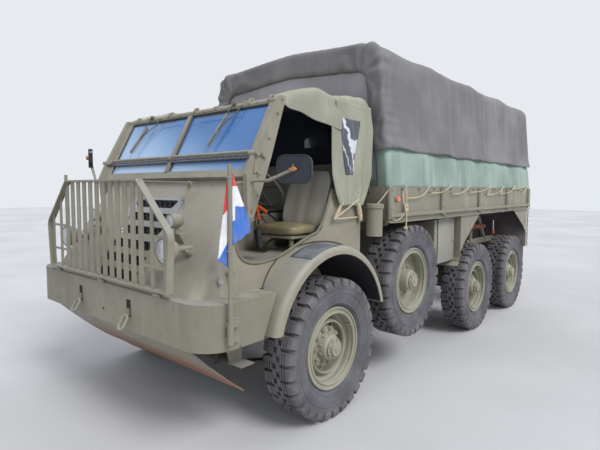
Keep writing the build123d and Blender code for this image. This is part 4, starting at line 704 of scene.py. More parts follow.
def tyre_form():
    """A block-tread tyre about the x axis: carcass, side-wall rings and two rows of lugs."""
    form = bmesh.new()
    spun(form, TYRE_HALF + [(-x, radius) for x, radius in reversed(TYRE_HALF)], steps=96)
    for side in (1, -1):
        row = lug_form()
        if side < 0:
            flipped(row)
            turned(row, pi / LUGS)
        bmesh.ops.spin(row, geom=row.verts[:] + row.edges[:] + row.faces[:], cent=(0, 0, 0), axis=(1, 0, 0),
                       angle=tau * (LUGS - 1) / LUGS, steps=LUGS - 1, use_duplicate=True)
        poured(form, row)
    return form


tyre_master = tyre_form()
for name, (side, y, z, deep) in WHEELS.items():
    form = tyre_master.copy()
    turned(form, y * 7)
    bmesh.ops.translate(form, verts=form.verts, vec=(side * TRACK_HALF, y, z))
    new_piece(f"tyre_tread_{name}", form, [tyre_rubber, lug_rubber], "tyre_rubber", f"wheel_{name}", 40,
              (f"tyre_{name}",))
tyre_master.free()


# Wheels: rings on the rim, nuts, hub bolts and caps

def wheel_trim(deep):
    """The small parts on a wheel's outer face, with the outer face towards +x."""
    form = bmesh.new()
    spun(form, [(0.094, 0.247), (0.101, 0.249), (0.105, 0.256), (0.101, 0.263), (0.094, 0.265)], steps=64)
    spun(form, [(0.094, 0.280), (0.103, 0.282), (0.106, 0.288), (0.103, 0.296), (0.094, 0.297)], steps=64)
    face_x, nut_ring, nuts, hub_x = (0.016, 0.130, 10, 0.098) if deep else (-0.002, 0.128, 8, 0.106)
    for angle in angles(nuts, 0.3):
        nut(form, (face_x, nut_ring * cos(angle), nut_ring * sin(angle)), (1, 0, 0), 0.0195, 0.022)
    spun(form, [(hub_x - 0.002, 0.05), (hub_x - 0.002, 0.074), (hub_x + 0.006, 0.076),
                (hub_x + 0.008, 0.072), (hub_x + 0.008, 0.05)], steps=32)
    for angle in angles(8):
        nut(form, (hub_x + 0.008, 0.064 * cos(angle), 0.064 * sin(angle)), (1, 0, 0), 0.0098, 0.009, False)
    rod(form, (0.12, 0, 0), (0.1335, 0, 0), 0.026, 6, 0.022)
    if deep:
        spun(form, [(0.02, 0.092), (0.034, 0.102), (0.034, 0.108), (0.02, 0.112)], steps=32)
        spun(form, [(-0.009, 0.212), (0.030, 0.203), (0.052, 0.194), (0.059, 0.187), (0.058, 0.181),
                    (0.050, 0.178), (0.034, 0.180), (-0.009, 0.186)], steps=72)
        for angle in angles(10, 0.8):
            y, z = 0.098 * cos(angle), 0.098 * sin(angle)
            block(form, (0.03, y - 0.0075, z - 0.0075), (0.062, y + 0.0075, z + 0.0075), 0.002)
    rod(form, (0.05, 0.232, 0.03), (0.103, 0.24, 0.04), 0.004, 8)
    return form


for name, (side, y, z, deep) in WHEELS.items():
    form = wheel_trim(deep)
    turned(form, y * 2.3 + 0.4)
    if side < 0:
        flipped(form)
    bmesh.ops.translate(form, verts=form.verts, vec=(side * TRACK_HALF, y, z))
    new_piece(f"wheel_trim_{name}", form, wheel_paint, "wheel_paint", f"wheel_{name}")
    # Painted shade: near-black plugs set in the holes of the deep wheel discs.
    if deep:
        holes = [(y + 0.161 * cos(angle), z + 0.161 * sin(angle)) for angle in angles(8, 0.2)]
        rows = [(rod, (side * (TRACK_HALF - 0.0105), *hole), (side * (TRACK_HALF - 0.0070), *hole), 0.0125)
                for hole in holes]
        fittings(f"wheel_holes_{name}", painted_shade_inside, "wheel_paint", (), rows, body=f"wheel_{name}")


# Canopy

CANOPY_SILL = (1.132, 1.675)
CANOPY_EAVE = (1.035, 2.875)
CANOPY_RIDGE = (0.0, 2.940)
CANOPY_REAR = 5.040
FIRST_HOOP, HOOP_PITCH, LAST_HOOP = 0.835, 1.03875, 4
arch = Walk([CANOPY_SILL, CANOPY_EAVE, CANOPY_RIDGE, (-CANOPY_EAVE[0], CANOPY_EAVE[1]),
             (-CANOPY_SILL[0], CANOPY_SILL[1])], [0.16, 0.9, 0.16])
COVER_START = 0.312
EAVES = (1.12, arch.length - 1.12)
BAND = 0.235
roll = Walk([(BAND, 0.802), (BAND - 0.014, 0.778), (0.0, 0.765), (0.0, CANOPY_REAR)], [0.02, 0.045])
inner_arch = Walk([(0.975, 1.675), (0.868, 2.640), (0.0, 2.705), (-0.868, 2.640), (-0.975, 1.675)],
                  [0.10, 0.9, 0.10])
INNER_EAVE = 0.965


def inner_point(s):
    """The drawn-in front edge's place beside a place on the arch, corners matched to corners."""
    half, half_in = arch.length / 2, inner_arch.length / 2
    mirror = s > half
    s = arch.length - s if mirror else s
    t = s / EAVES[0] * INNER_EAVE
    if s >= EAVES[0]:
        t = INNER_EAVE + (s - EAVES[0]) / (half - EAVES[0]) * (half_in - INNER_EAVE)
    point, _ = inner_arch.at(inner_arch.length - t if mirror else t)
    return point


def between_hoops(y):
    """0 at a hoop and 1 half way to the next."""
    share = min(max((y - FIRST_HOOP) / HOOP_PITCH, 0.0), LAST_HOOP) % 1.0
    return sin(pi * share) ** 2


def cover_place(u, v):
    """The dark cover: over the arch, its front edge rolled inwards round the first hoop."""
    s = COVER_START + u * (arch.length - 2 * COVER_START)
    low = min(u, 1 - u)
    spare = 0.012 * swing(v * 14, 4.0 if u < 0.5 else 8.0) * ease(0.05 - low, 0.0, 0.05)
    s = s - spare * (1 if u < 0.5 else -1)
    reach = v * roll.length
    (inset, y), _ = roll.at(reach)
    point, out = arch.at(s)
    height = ease(point.y, 2.0, 2.75)
    fall = exp(-max(y - 0.80, 0.0) / 0.22)
    gather = 0.006 * fall * sin(s * tau / 0.085 + 2.0 * swing(s * 3, 1.0))
    gather += 0.007 * fall * swing(s * 16, y * 5, 3.0)
    gather *= 1 - 0.8 * height
    on_face = 1 - ease(reach, BAND - 0.02, BAND + 0.06)
    tie = 1 - ease(reach, 0.02, 0.09)
    puckers = 0.007 * sin(s * tau / 0.050 + 3.0 * swing(s * 6, 13.0))
    ruffle = tie * (puckers + 0.006 * swing(s * 30, 15.0))
    ruffle += 0.005 * swing(s * 5.0, reach * 2.0, 16.0)
    for corner in EAVES:
        aside = s - corner
        away = hypot(aside, reach)
        spread = sin(12.0 * atan2(reach, aside) + 2.5 * swing(aside * 5, reach * 5, 17.0))
        fan = spread * ease(away, 0.04, 0.14) * (1 - ease(away, 0.30, 0.52))
        ruffle += 0.012 * fan
        gather += 0.009 * fan * (1 - on_face)
    upright = ease(2.70 - point.y, 0.0, 0.12)
    ruffle += upright * (0.010 * swing(s * 6.5, reach * 9, 19.0) + 0.007 * swing(s * 16, reach * 14, 23.0))
    gather += upright * (1 - ease(reach, 0.3, 0.55)) * (0.011 * swing(s * 5.5, reach * 9, 29.0))
    folds = 0.011 * swing(y * 3.3, s * 0.55, 7.0) * (1.1 - 0.75 * height)
    folds += 0.006 * swing(y * 9.0, s * 0.9, 2.0) * (1.1 - 0.85 * height)
    folds += 0.004 * swing(y * 2.4, s * 2.6, 11.0)
    sag = 0.016 * between_hoops(y) * ease(y, 0.9, 1.2)
    ridge = 0.004 * (1 - ease(abs((y - FIRST_HOOP + 0.52) % HOOP_PITCH - 0.52), 0.012, 0.05))
    flare = 0.016 * ease(2.12 - point.y, 0.0, 0.14)
    out_by = gather + folds - sag + ridge + flare - 0.007
    held = ease(reach, BAND - 0.06, BAND + 0.03)
    place = point.lerp(inner_point(s), min(inset / BAND, 1.0)) + out * out_by * held
    return (place.x, max(y - max(ruffle, -0.012) * on_face, 0.748), place.y)


cover_length = arch.length - 2 * COVER_START
cover = cloth("canopy_top", (cover_length, roll.length), (190, 180), cover_place, dark_canvas,
              "dark_canvas", ("canopy_cover",))


CURTAIN_TALL = 0.385
curtain_roll = Walk([(0.135, 0.806), (0.014, 0.797), (0.014, 5.036)], [0.03])


def curtain_place(u, v, side):
    """The green lower curtain: upright folds, tucked under the cover, with a stitched hem."""
    reach = v * curtain_roll.length
    (inset, y), _ = curtain_roll.at(reach)
    s = 0.004 + u * CURTAIN_TALL
    point, out = arch.at(s if side > 0 else arch.length - s)
    low = 1 - u
    fold = 0.007 * swing(reach * 7.5, u * 0.6, 20.0 + side)
    fold += 0.004 * swing(reach * 19.0, u * 0.8, 24.0 + side)
    fold += 0.003 * swing(reach * 3.0, u * 3.0, 28.0 + side)
    hem = 0.0025 * (1 - ease(abs(u - 0.075), 0.004, 0.02))
    free = ease(inset, 0.135, 0.10)
    tucked = 0.013 * ease(u, 0.62, 0.80)
    fold *= (0.25 + 0.75 * low) * (1 - ease(u, 0.5, 0.8) * 0.7)
    place = point - out * inset + out * (fold - hem - tucked) * free
    drop = 0.017 * (1 - ease(u, 0.0, 0.4))
    return (place.x, y, place.y - drop + 0.004 * swing(reach * 5.0, 33.0) * low)


for word, side in SIDES:
    curtain = cloth(f"canopy_lower_{word}", (CURTAIN_TALL, curtain_roll.length), (20, 260),
                    lambda u, v: curtain_place(u, v, side), green_canvas, "green_canvas",
                    ("canopy_curtain",))


FACE_LOW, FACE_TOP, FACE_INSET = 1.703, 2.907, 0.030
FACE_FLAT = (2.18, 1.2)


def face_place(u, v):
    """The panel set back in the canopy's front, a little slack."""
    z = FACE_LOW + v * (FACE_TOP - FACE_LOW)
    s_low, s_high = 0.0, arch.length / 2
    for _ in range(22):
        middle = (s_low + s_high) / 2
        point, out = arch.at(middle)
        if (point - out * FACE_INSET).y < z:
            s_low = middle
        else:
            s_high = middle
    point, out = arch.at(s_low)
    x = (2 * u - 1) * max((point - out * FACE_INSET).x, 0.0)
    slack = 0.006 * swing(x * 2.2, z * 1.5, 41.0) + 0.003 * swing(x * 7, z * 1.6, 44.0)
    return (x, 0.8063 + slack * 0.6, z)


face = cloth("canopy_face", FACE_FLAT, (60, 44), face_place, face_canvas, "dark_canvas", ("canopy_front",))


# Cab canvas

roof_line = Walk([(-0.356, 2.250), (-0.270, 2.298), (0.03, 2.383), (0.22, 2.345), (0.48, 2.385),
                  (0.683, 2.398), (0.686, 1.62)], [0.1, 0.12, 0.12, 0.2, 0.09])


def roof_place(u, v):
    """The cab's canvas roof, its side skirts and its rear wall."""
    (y, z), _ = roof_line.at(v * roof_line.length)
    half = 0.968 + 0.032 * ease(y, -0.35, 0.35)
    behind = ease(2.36 - z, 0.0, 0.10) * ease(y, 0.62, 0.67)
    lower = 2.225 - 0.120 * min(max((y + 0.34) / 0.54, 0.0), 1.0)
    skirt = max(z - lower, 0.012) * (1 - behind) + 0.004
    corner = min(0.065, skirt)
    side = 1 if u > 0.5 else -1
    total = half + skirt
    reach = abs(2 * u - 1) * total
    line_flat = half - corner
    camber = 0.022 * (1 - (min(reach, half) / half) ** 2) * (1 - behind)
    if reach < line_flat:
        x, drop = reach, 0.0
    elif reach < line_flat + corner * pi / 2:
        angle = (reach - line_flat) / corner
        x, drop = line_flat + corner * sin(angle), corner * (1 - cos(angle))
    else:
        x, drop = half, corner + reach - line_flat - corner * pi / 2
    drop = min(drop, skirt + 0.01)
    loose = ease(reach, half - 0.1, half + 0.05)
    sway = 0.006 * swing(y * 9, reach * 2, 50.0 + side) * loose
    crumple = 0.007 * swing(y * 4.5, x * side * 2.2, 54.0) + 0.004 * swing(y * 11, x * side * 5.0, 57.0)
    flap = ease(y, 0.0, 0.1) * (1 - ease(y, 0.20, 0.32)) * ease(2.30 - (z - drop), 0.0, 0.12)
    x = min(x + sway, 1.004) + 0.031 * flap * loose
    hollow = 0.072 * (1 - ease(reach, 0.58, 0.86)) * ease(y, -0.42, -0.26) * (1 - ease(y, 0.40, 0.60))
    hump = 0.012 * swing(y * 6.5, 59.0) * ease(reach, 0.7, 0.95) * (1 - behind)
    z += (crumple + hump) * (1 - behind) + camber - drop - hollow - 0.012
    return (side * x, y + min(crumple * 0.6 * behind, 0.003), z)


roof_flat = (2.42, roof_line.length)
roof = cloth("cab_roof", roof_flat, (96, 80), roof_place, [sage_canvas, canvas_inside_shaded], "sage_canvas",
             ("cab_canvas",))
# The canvas's inside face gets the painted shade of the cab's inside.
roof.modifiers["thickness"].material_offset = 1


CURTAIN_TOP, CURTAIN_FOOT = 2.30, 1.512
CURTAIN_FLAT = (0.60, 0.80)
# The curtain's front and rear edges as (z, y), from its top down.
CURTAIN_LEFT = [(2.30, 0.190), (2.20, 0.190), (2.12, 0.150), (2.09, 0.118), (1.75, 0.140), (1.60, 0.19),
                (1.512, 0.235)]
CURTAIN_RIGHT = [(2.30, 0.668), (2.13, 0.680), (1.95, 0.680), (1.76, 0.660), (1.62, 0.605), (1.512, 0.535)]


def edge_at(table, z):
    """A value read between the rows of a table of heights, highest first."""
    for (z1, y1), (z0, y0) in zip(table, table[1:]):
        if z >= z0:
            share = min((z - z0) / (z1 - z0), 1.0)
            return y0 + (y1 - y0) * share
    return table[-1][1]


def side_curtain_place(u, v, side):
    """A side curtain gathered towards its foot, where the rope ties it."""
    z = CURTAIN_TOP - v * (CURTAIN_TOP - CURTAIN_FOOT)
    left, right = edge_at(CURTAIN_LEFT, z), edge_at(CURTAIN_RIGHT, z)
    tight = ease(2.13 - z, 0.05, 0.6)
    y = left + u * (right - left) + 0.005 * tight * sin(u * tau * 3.2 + 1.6)
    fold = (0.002 + 0.009 * tight) * sin(u * tau * 3.2 + 1.8 * swing(z * 2.2, 61.0))
    fold += 0.011 * swing(u * 3.5 + z * 1.2, z * 2.5, 63.0) + 0.005 * swing(u * 9, z * 5, 66.0)
    high = ease(z, 2.06, 2.28)
    x = 1.0225 - 0.012 * high + max(min(fold * (1 - high), 0.0195), -0.0195)
    return (side * x, y, z)


for word, side in SIDES:
    hung = cloth(f"side_curtain_{word}", CURTAIN_FLAT, (64, 52),
                 lambda u, v: side_curtain_place(u, v, side), sage_canvas, "sage_canvas",
                 ("side_curtains",))


# Seats

def add_pad(form, middle, size, crown, lean=0.0, cells=14, crisp=3.2):
    """A stuffed pad: a crowned block whose sides pull in between its corners."""
    made = bmesh.ops.create_cube(form, size=2)
    edges = list({edge for vert in made["verts"] for edge in vert.link_edges})
    bmesh.ops.subdivide_edges(form, edges=edges, cuts=cells, use_grid_fill=True)
    turn = Matrix.Rotation(lean, 3, "X")
    for vert in form.verts:
        x, y, z = vert.co
        edge = max(abs(x), abs(y))
        full = (1 - abs(x) ** crisp) * (1 - abs(y) ** crisp)
        round_off = edge / max((abs(x) ** 5 + abs(y) ** 5) ** 0.2, 1e-6)
        round_off *= 1 - 0.05 * abs(z) ** 3 * edge ** 6
        pull = 1 - 0.02 * (1 - x * x) * edge - 0.02 * (1 - y * y) * edge
        place = Vector((x * size[0] / 2 * pull * round_off, y * size[1] / 2 * pull * round_off,
                        z * size[2] / 2 * (0.72 + 0.28 * full ** 0.5) + crown * full * max(z, 0)))
        vert.co = turn @ place + Vector(middle)


for word, side in SIDES:
    form = bmesh.new()
    add_pad(form, (side * 0.69, -0.012, 1.338), (0.425, 0.318, 0.078), 0.008)
    cushion = new_piece(f"seat_cushion_{word}", form, seat_vinyl, "seat_cover", smooth=60,
                        stands_for=("seats",))
    form = bmesh.new()
    add_pad(form, (side * 0.682, 0.246, 1.560), (0.435, 0.042, 0.47), 0.0, lean=-0.335, cells=10, crisp=8.0)
    back = new_piece(f"seat_back_{word}", form, seat_panel, "seat_cover", smooth=60, stands_for=("seats",))
rows = [(block, (0.50, -0.155, 1.278), (0.88, 0.14, 1.298), 0.004)]
for x in (0.52, 0.84):
    rows += [(block, (x, -0.14, 1.195), (x + 0.02, -0.11, 1.285), 0.003),
             (rod, (x + 0.01, -0.12, 1.19), (x + 0.01, 0.11, 1.285), 0.011),
             (rod, (x + 0.01, 0.11, 1.29), (x + 0.01, 0.235, 1.40), 0.011)]
fittings("seat_frames", olive, "olive_paint", rows, stands_for=("seats",))


# Ropes, cord and flag

TAIL = [(1.132, 1.00855, 1.6397), (1.133, 1.01055, 1.560), (1.166, 1.00955, 1.472), (1.172, 1.01555, 1.385),
        (1.168, 1.01255, 1.300)]
tail = rope_line("lacing_end", [TAIL], 0.006, cream_rope)
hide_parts("lacing_tail")
form = bmesh.new()
tube(form, [(1.168 + 0.009 * sin(2 * t) + 0.004 * cos(3 * t), 1.0128 + 0.010 * sin(t),
             1.309 + 0.010 * cos(2 * t + 0.6)) for t in angles(24)], 0.0055, 8)
tail_knot = new_piece("lacing_end_knot", form, cream_rope, "rope", smooth=70)

# Eyelets in the cover and hooks on the side board, as (y, z), from the front to the rear.
EYELETS = [(y, 1.690 if y < 4 else 1.705) for y in (1.05, 1.533, 2.036, 2.527, 3.25, 3.757, 4.251, 4.877)]
HOOKS = [(1.0486, 1.487), (1.54, 1.598), (2.046, 1.589), (2.538, 1.606), (3.097, 1.576), (3.583, 1.588),
         (4.078, 1.65), (4.60, 1.60)]
FIRST_RUN = (1.050, 1.556)
DOUBLE_FROM = 4


def lacing_lines():
    """The left side's lacing: up from each hook to the next eyelet, and down again further back."""
    lines = [[(1.140, 1.046, 1.690), (1.150, 1.047, 1.60), (1.152, 1.049, 1.49)]]
    for (y, z), (far, high) in zip([FIRST_RUN] + HOOKS[1:], EYELETS[1:]):
        span = far - y
        top = high if far > 4 else high - 0.002
        lines.append([(1.150, y + 0.005, z + 0.01), (1.149, y + span * 0.42, z + 0.008),
                      (1.148, y + span * 0.78, z + 0.045), (1.139, far, top)])
    for (y, z), (far, _) in zip(HOOKS[DOUBLE_FROM:], EYELETS[DOUBLE_FROM:]):
        middle = (1.147, (y + far) / 2, (z + 1.69) / 2 - 0.01)
        lines.append([(1.140, far, 1.695), middle, (1.150, y + 0.01, z)])
    lines.append([(1.152, 1.045, 1.47), (1.153, 0.99, 1.415), (1.150, 0.90, 1.375), (1.12, 0.80, 1.37)])
    lines.append([(1.135, 0.796, 1.67), (1.12, 0.72, 1.58), (1.09, 0.648, 1.515)])
    return lines


def knot(form, centre, size):
    """A knot in the rope: one closed line wound on itself."""
    turns = [Vector((0.55 * cos(2 * t), sin(t), cos(3 * t + 0.5))) for t in angles(30)]
    tube(form, [Vector(centre) + size * turn for turn in turns], 0.0055, 8)


def twist(form, start, end, wide, radius, turns):
    """Three strands of rope laid round each other between two points."""
    start, end = Vector(start), Vector(end)
    turn = (end - start).to_track_quat("Z", "Y").to_matrix()
    for strand in range(3):
        line = []
        for t in [k / 28 for k in range(29)]:
            angle = tau * (turns * t + strand / 3)
            spread = wide * (0.35 + 0.65 * sin(pi * t) ** 0.5)
            line.append(start.lerp(end, t) + turn @ Vector((spread * cos(angle), spread * sin(angle), 0)))
        tube(form, line, radius, 8, closed=False)


rope_line("lacing", both(lacing_lines()), 0.0045, cream_rope)
rows = [(ring, (1.1385, y, z), 0.008, 0.0022, "yz", 6, 12) for y, z in EYELETS]
for y, z in HOOKS:
    rows += [(rod, (1.122, y, z + 0.02), (1.146, y, z + 0.014), 0.004, 8),
             (rod, (1.146, y, z + 0.014), (1.147, y + 0.004, z + 0.034), 0.004, 8)]
fittings("lacing_eyelets", steel, "olive_paint", rows)
fittings("lacing_knots", cream_rope, "rope", [
    (knot, (1.154, 1.048, 1.497), 0.017), (knot, (1.154, 1.050, 1.462), 0.015),
    (knot, (1.153, 1.030, 1.432), 0.013)], smooth=70)
rope_line("curtain_tie_ropes", both([
    [(1.046, 0.243, 1.538), (1.034, 0.215, 1.50), (1.018, 0.175, 1.43)],
    [(1.050, 0.445, 1.562), (1.042, 0.31, 1.49), (1.018, 0.178, 1.424)],
    [(1.016, 0.172, 1.420), (1.014, 0.31, 1.416), (1.018, 0.47, 1.420)]]), 0.0055, cream_rope)
fittings("curtain_tie_knots", cream_rope, "rope", [
    (twist, (1.030, 0.232, 1.517), (1.018, 0.170, 1.416), 0.0085, 0.0068, 2.2),
    (twist, (1.030, 0.470, 1.523), (1.024, 0.515, 1.392), 0.0150, 0.0078, 2.6)], smooth=70)

FLAG_FLAT = (0.32, 0.44)
FLAG_POLE = (1.150, -0.965)
FLAG_SHARE = 0.42
FLAG_WRAP = 0.0168
FLAG_BACK = (-0.756, 0.654)
# The heights of the bands' edges, foot to top: at the pole, then at the wing's folded edge.
FLAG_LEFT = ((1.215, 1.390, 1.545, 1.700), (1.250, 1.268, 1.500, 1.655))
FLAG_RIGHT = ((1.318, 1.545, 1.655, 1.722), (1.405, 1.545, 1.650, 1.715))


def flag_fold(z, right):
    """How far from the pole a wing of the flag folds back at a height."""
    if right:
        return 0.018 + (1.722 - max(z, 1.448)) / 0.252 * 0.094
    return 0.019 + (1.66 - z) / 0.41 * 0.050


def flag_place(u, v):
    """The flag: wrapped round its pole, each wing folded back along a slanting edge."""
    along_flag = (u - FLAG_SHARE) * FLAG_FLAT[0]
    right = along_flag > 0
    out = abs(along_flag)
    near, far = FLAG_RIGHT if right else FLAG_LEFT
    way = Vector((0.35, 0.94) if right else (-0.76, -0.65))
    reach = min(out / max(flag_fold(near[0] + (near[3] - near[0]) * v, right), 0.03), 1.1)
    band = min(int(v * 3), 2)
    low = near[band] + (far[band] - near[band]) * reach
    high = near[band + 1] + (far[band + 1] - near[band + 1]) * reach
    z = low + (high - low) * (v * 3 - band)
    fold_at = max(flag_fold(z, right), 0.019)
    spare = max(out - fold_at, 0.0)
    room = fold_at - 0.0175
    bunched = max(spare - room, 0.0)
    place = min(out, fold_at) - min(spare, room) * 0.96 + 0.02 * bunched
    behind = (0.008 if right else 0.014) * (1 - exp(-spare / 0.005)) + 0.16 * bunched
    behind += 0.007 * swing(out * 26, z * 5, 71.0) * ease(out, 0.02, 0.06)
    behind += 0.004 * swing(out * 60, z * 9, 74.0)
    from_pole = Vector((way.x * place + FLAG_BACK[0] * behind, way.y * place + FLAG_BACK[1] * behind))
    if from_pole.length < FLAG_WRAP:
        from_pole = (Vector(FLAG_BACK) if out < 0.012 else from_pole.normalized()) * FLAG_WRAP
    droop = 0.012 * max(0.0, swing(u * 7, 78.0)) * (1 - v)
    return (FLAG_POLE[0] + from_pole.x, FLAG_POLE[1] + from_pole.y, z - droop)


flag = cloth("flag_on_pole", FLAG_FLAT, (90, 72), flag_place, flag_cloth, "flag_cloth", ("flag",),
             wall=0.0012)
fittings("flag_ties", grey_rope, "rope", (), [
    (ring, (*FLAG_POLE, z), 0.0155, 0.0022, "xy", 6, 16) for z in (1.700, 1.300)])


# Lamps

def lens_cap(form, place, radius, bulge):
    """A domed lens that faces forward."""
    cap = bmesh.new()
    spun(cap, [(bulge * 0.35, radius * 0.5), (bulge, radius), (bulge + 0.004, radius),
               (bulge + 0.004, 0.002), (0.0, 0.002)], steps=40)
    turned(cap, pi / 2, "Z")
    bmesh.ops.translate(cap, verts=cap.verts, vec=(place[0], place[1] - bulge, place[2]))
    poured(form, cap)


fittings("lamp_lenses", clear_lens, "lamp_glass", [
    (lens_cap, (0.664, -1.0705, 1.265), 0.071, 0.011), (lens_cap, (0.520, -0.9205, 1.433), 0.040, 0.005)],
    smooth=60)
fittings("lamp_rings", olive, "olive_paint", [
    (ring, (0.664, -1.068, 1.265), 0.0745, 0.0055, "xz", 8, 48),
    (ring, (0.520, -0.920, 1.433), 0.0445, 0.005, "xz", 8, 48),
    (rod, (0.664, -1.075, 1.345), (0.664, -1.058, 1.350), 0.006, 8)], smooth=60)
fittings("side_lamp_lenses", orange_lens, "lamp_glass", [
    (rod, (1.160, 0.870, 1.560), (1.176, 0.870, 1.560), 0.0275, 32, 0.021)], smooth=60)
fittings("rear_lamp_lenses", red_lens, "lamp_glass", [
    (rod, (0.8, 5.044, 1.240), (0.8, 5.049, 1.240), 0.037, 32, 0.030)], smooth=60)


# Nose: a dark plate of painted shade behind the mesh, panel bolts and stub lamps

NOSE_UP = Vector((0, NOSE_RUN, NOSE_RISE)).normalized()
NOSE_OUT = Vector((0, -NOSE_UP.z, NOSE_UP.y))


def on_nose(x, z, out=0.0):
    """A place on the nose's slope, or out from it."""
    return tuple(Vector((x, nose_front(z), z)) + NOSE_OUT * out)


# Painted shade: a near-black plate behind the vents' mesh stands for the dark inside the nose.
form = bmesh.new()
plate(form, [(-0.285, -0.31), (0.285, -0.31), (0.285, 0.31), (-0.285, 0.31)], 0.003,
      along(NOSE_UP, origin=(0, nose_front(VENTS_Z) + 0.042, VENTS_Z)), 0)
new_piece("behind_vents", form, painted_shade_inside, "under_paint")
x, y, z = on_nose(0.70, 1.235, 0.055)
rows = [(nut, on_nose(0.312, 1.02 + 0.107 * k, 0.0035), NOSE_OUT, 0.007, 0.005, False) for k in range(6)]
rows += [(nut, on_nose(across, 1.66), NOSE_OUT, 0.006, 0.004, False) for across in (0.40, 0.55, 0.70)]
rows += [(rod, on_nose(0.70, 1.235), on_nose(0.70, 1.235, 0.03), 0.020),
         (rod, on_nose(0.70, 1.235, 0.03), (x, y, z - 0.012), 0.010, 10)]
fittings("nose_bolts", olive, "olive_paint", rows)
form = bmesh.new()
for side in (1, -1):
    spot = Vector((side * (cab_side(-0.858, 1.095) - 0.004), -0.858, 1.095))
    end = spot + Vector((side * 0.86, -0.5, 0.0)) * 0.040
    rod(form, spot, end, 0.015, 24, 0.0165)
    tube(form, [end + 0.0150 * Vector((side * -0.5 * cos(t), -0.86 * cos(t), sin(t))) for t in angles(24)],
         0.0022, 6)
new_piece("nose_stub_lamps", form, chrome, "lamp_glass", smooth=50)


# Bumper, guard and fenders

form = bmesh.new()
for side, pole_y in ((1, -0.965), (-1, -0.855)):
    for z in (0.800, 0.885):
        place = Matrix.Translation((side * 1.1195, pole_y + 0.055, z))
        place @= Matrix.Rotation(side * pi / 2, 4, "Y")
        plate(form, [(0.034 * cos(t), 0.034 * sin(t)) for t in angles(24)], 0.007, place, 0.001)
        nut(form, (side * 1.126, pole_y + 0.055, z), (side, 0, 0), 0.010, 0.008)
    nut(form, (side * 1.1195, pole_y + 0.105, 0.742), (side, 0, 0), 0.010, 0.006)
    for y in (-0.735, -0.80):
        nut(form, (side * 0.936, y, 0.70), (side, 0, 0), 0.011, 0.008)
new_piece("pole_pads", form, olive, "olive_paint")
fittings("guard_base_rod", olive_under_shaded, "olive_paint", (), [
    (rod, (-0.80, -1.1235, 1.0045), (0.80, -1.1235, 1.0045), 0.0045, 10)])
# Painted shade: a near-black disc set in the bumper's hole.
fittings("bumper_hole", painted_shade_inside, "under_paint", (), [
    (rod, (0, -1.1156, 0.815), (0, -1.114, 0.815), 0.0095, 20)])
form = bmesh.new()
for side in (1, -1):
    corners = ((1.112, -0.90), (1.112, -0.575), (1.0, -0.575), (0.985, -0.90))
    plate(form, [(side * x, y) for x, y in corners], 0.0025, Matrix.Translation((0, 0, 1.0)), 0.001)
new_piece("shelf_patches", form, shelf_grit, "olive_paint")
rows = [(rod, (x, -1.1225, z), (x, -1.1195, z), 0.007, 10, 0.005)
        for x in [(k + 0.5) * 0.0925 for k in range(6)] for z in (1.045, 1.685)]
rows.append((nut, (0.478, -1.124, 1.683), (0, -1, 0), 0.009, 0.006))
fittings("guard_rivets", olive, "olive_paint", rows, body="brush_guard")


def fender_patch_place(u, v, side):
    """The non-slip patch on a fender's crown."""
    turn = -0.04 + v * 0.49
    return (side * (0.985 + u * 0.185), -0.663 * sin(turn), ARCH_Z + 0.663 * cos(turn))


for word, side in SIDES:
    cloth(f"fender_patch_{word}", (0.185, 0.325), (6, 20), lambda u, v: fender_patch_place(u, v, side),
          patch_grit, "olive_paint", wall=0.002)


# Cab edges and windscreen fittings

DOOR_EDGE = [(-0.600, 1.460), (-0.742, 1.395), (-0.700, 1.165), (-0.400, 1.165), (-0.060, 1.305),
             (0.075, 1.330), (0.205, 1.640)]
SEAM = [(-0.575, 0.80), (-0.545, 0.95), (-0.475, 1.085), (-0.36, 1.185), (-0.20, 1.235), (0.0, 1.252),
        (0.20, 1.235), (0.36, 1.185), (0.475, 1.085), (0.54, 0.99)]
SEAM_GROWN = 1.015
rope_line("door_beads", both([[(cab_side(y, z) - 0.001, y, z) for y, z in DOOR_EDGE]]), 0.0115, bead)
seam = [(cab_side(y, z) + 0.002, y * SEAM_GROWN, ARCH_Z + (z - ARCH_Z) * SEAM_GROWN) for y, z in SEAM]
rope_line("fender_seams", both([seam]), 0.0045, seam_dark)

SCREEN_UP = Vector((0, 0.262, 0.505)).normalized()
SCREEN_OUT = Vector((0, -SCREEN_UP.z, SCREEN_UP.y))
SCREEN_DOWN = SCREEN_OUT.cross(Vector((1, 0, 0)))


def on_screen(x, up, out=0.0):
    """A place on the windscreen: across, up from its foot and out from its middle plane."""
    return Vector((x, -0.592, 1.735)) + SCREEN_UP * up + SCREEN_OUT * out


def bar(x, x2, half, low, high, place):
    """A row for a small block set in the windscreen's own plane."""
    return (block, Vector((x, half[0], low)), Vector((x2, half[1], high)), 0.002, place)


fittings("screen_bar_rubbers", bar_grey, "black_rubber", [
    (rod, (0.012, up, 0.024), (0.905, up, 0.024), thick, 14)
    for up, thick in ((0.106, 0.009), (0.125, 0.0105))], put=on_screen)
rows = [(rod, (0.012, 0.149, 0.024), (0.935, 0.149, 0.024), 0.0125, 14),
        (rod, (0.915, 0.128, 0.020), (0.915, 0.128, 0.045), 0.022)]
rows += [(rod, (x - 0.03, 0.566, 0.020), (x + 0.03, 0.566, 0.020), 0.009) for x in (0.30, 0.62)]
single = [(nut, (0, 0.128, 0.034), SCREEN_OUT, 0.014, 0.012),
          bar(-0.932, 0.932, (-0.010, 0.016), -0.003, 0.003,
              along(SCREEN_DOWN, origin=on_screen(0, 0.548, 0.022))),
          bar(-0.016, 0.016, (0.0, 0.50), -0.005, 0.004,
              along(SCREEN_UP, origin=on_screen(0, 0.02, 0.024)))]
single += [(nut, (-0.90 + k * 0.15, 0.548, 0.022), SCREEN_OUT, 0.008, 0.006) for k in range(13)]
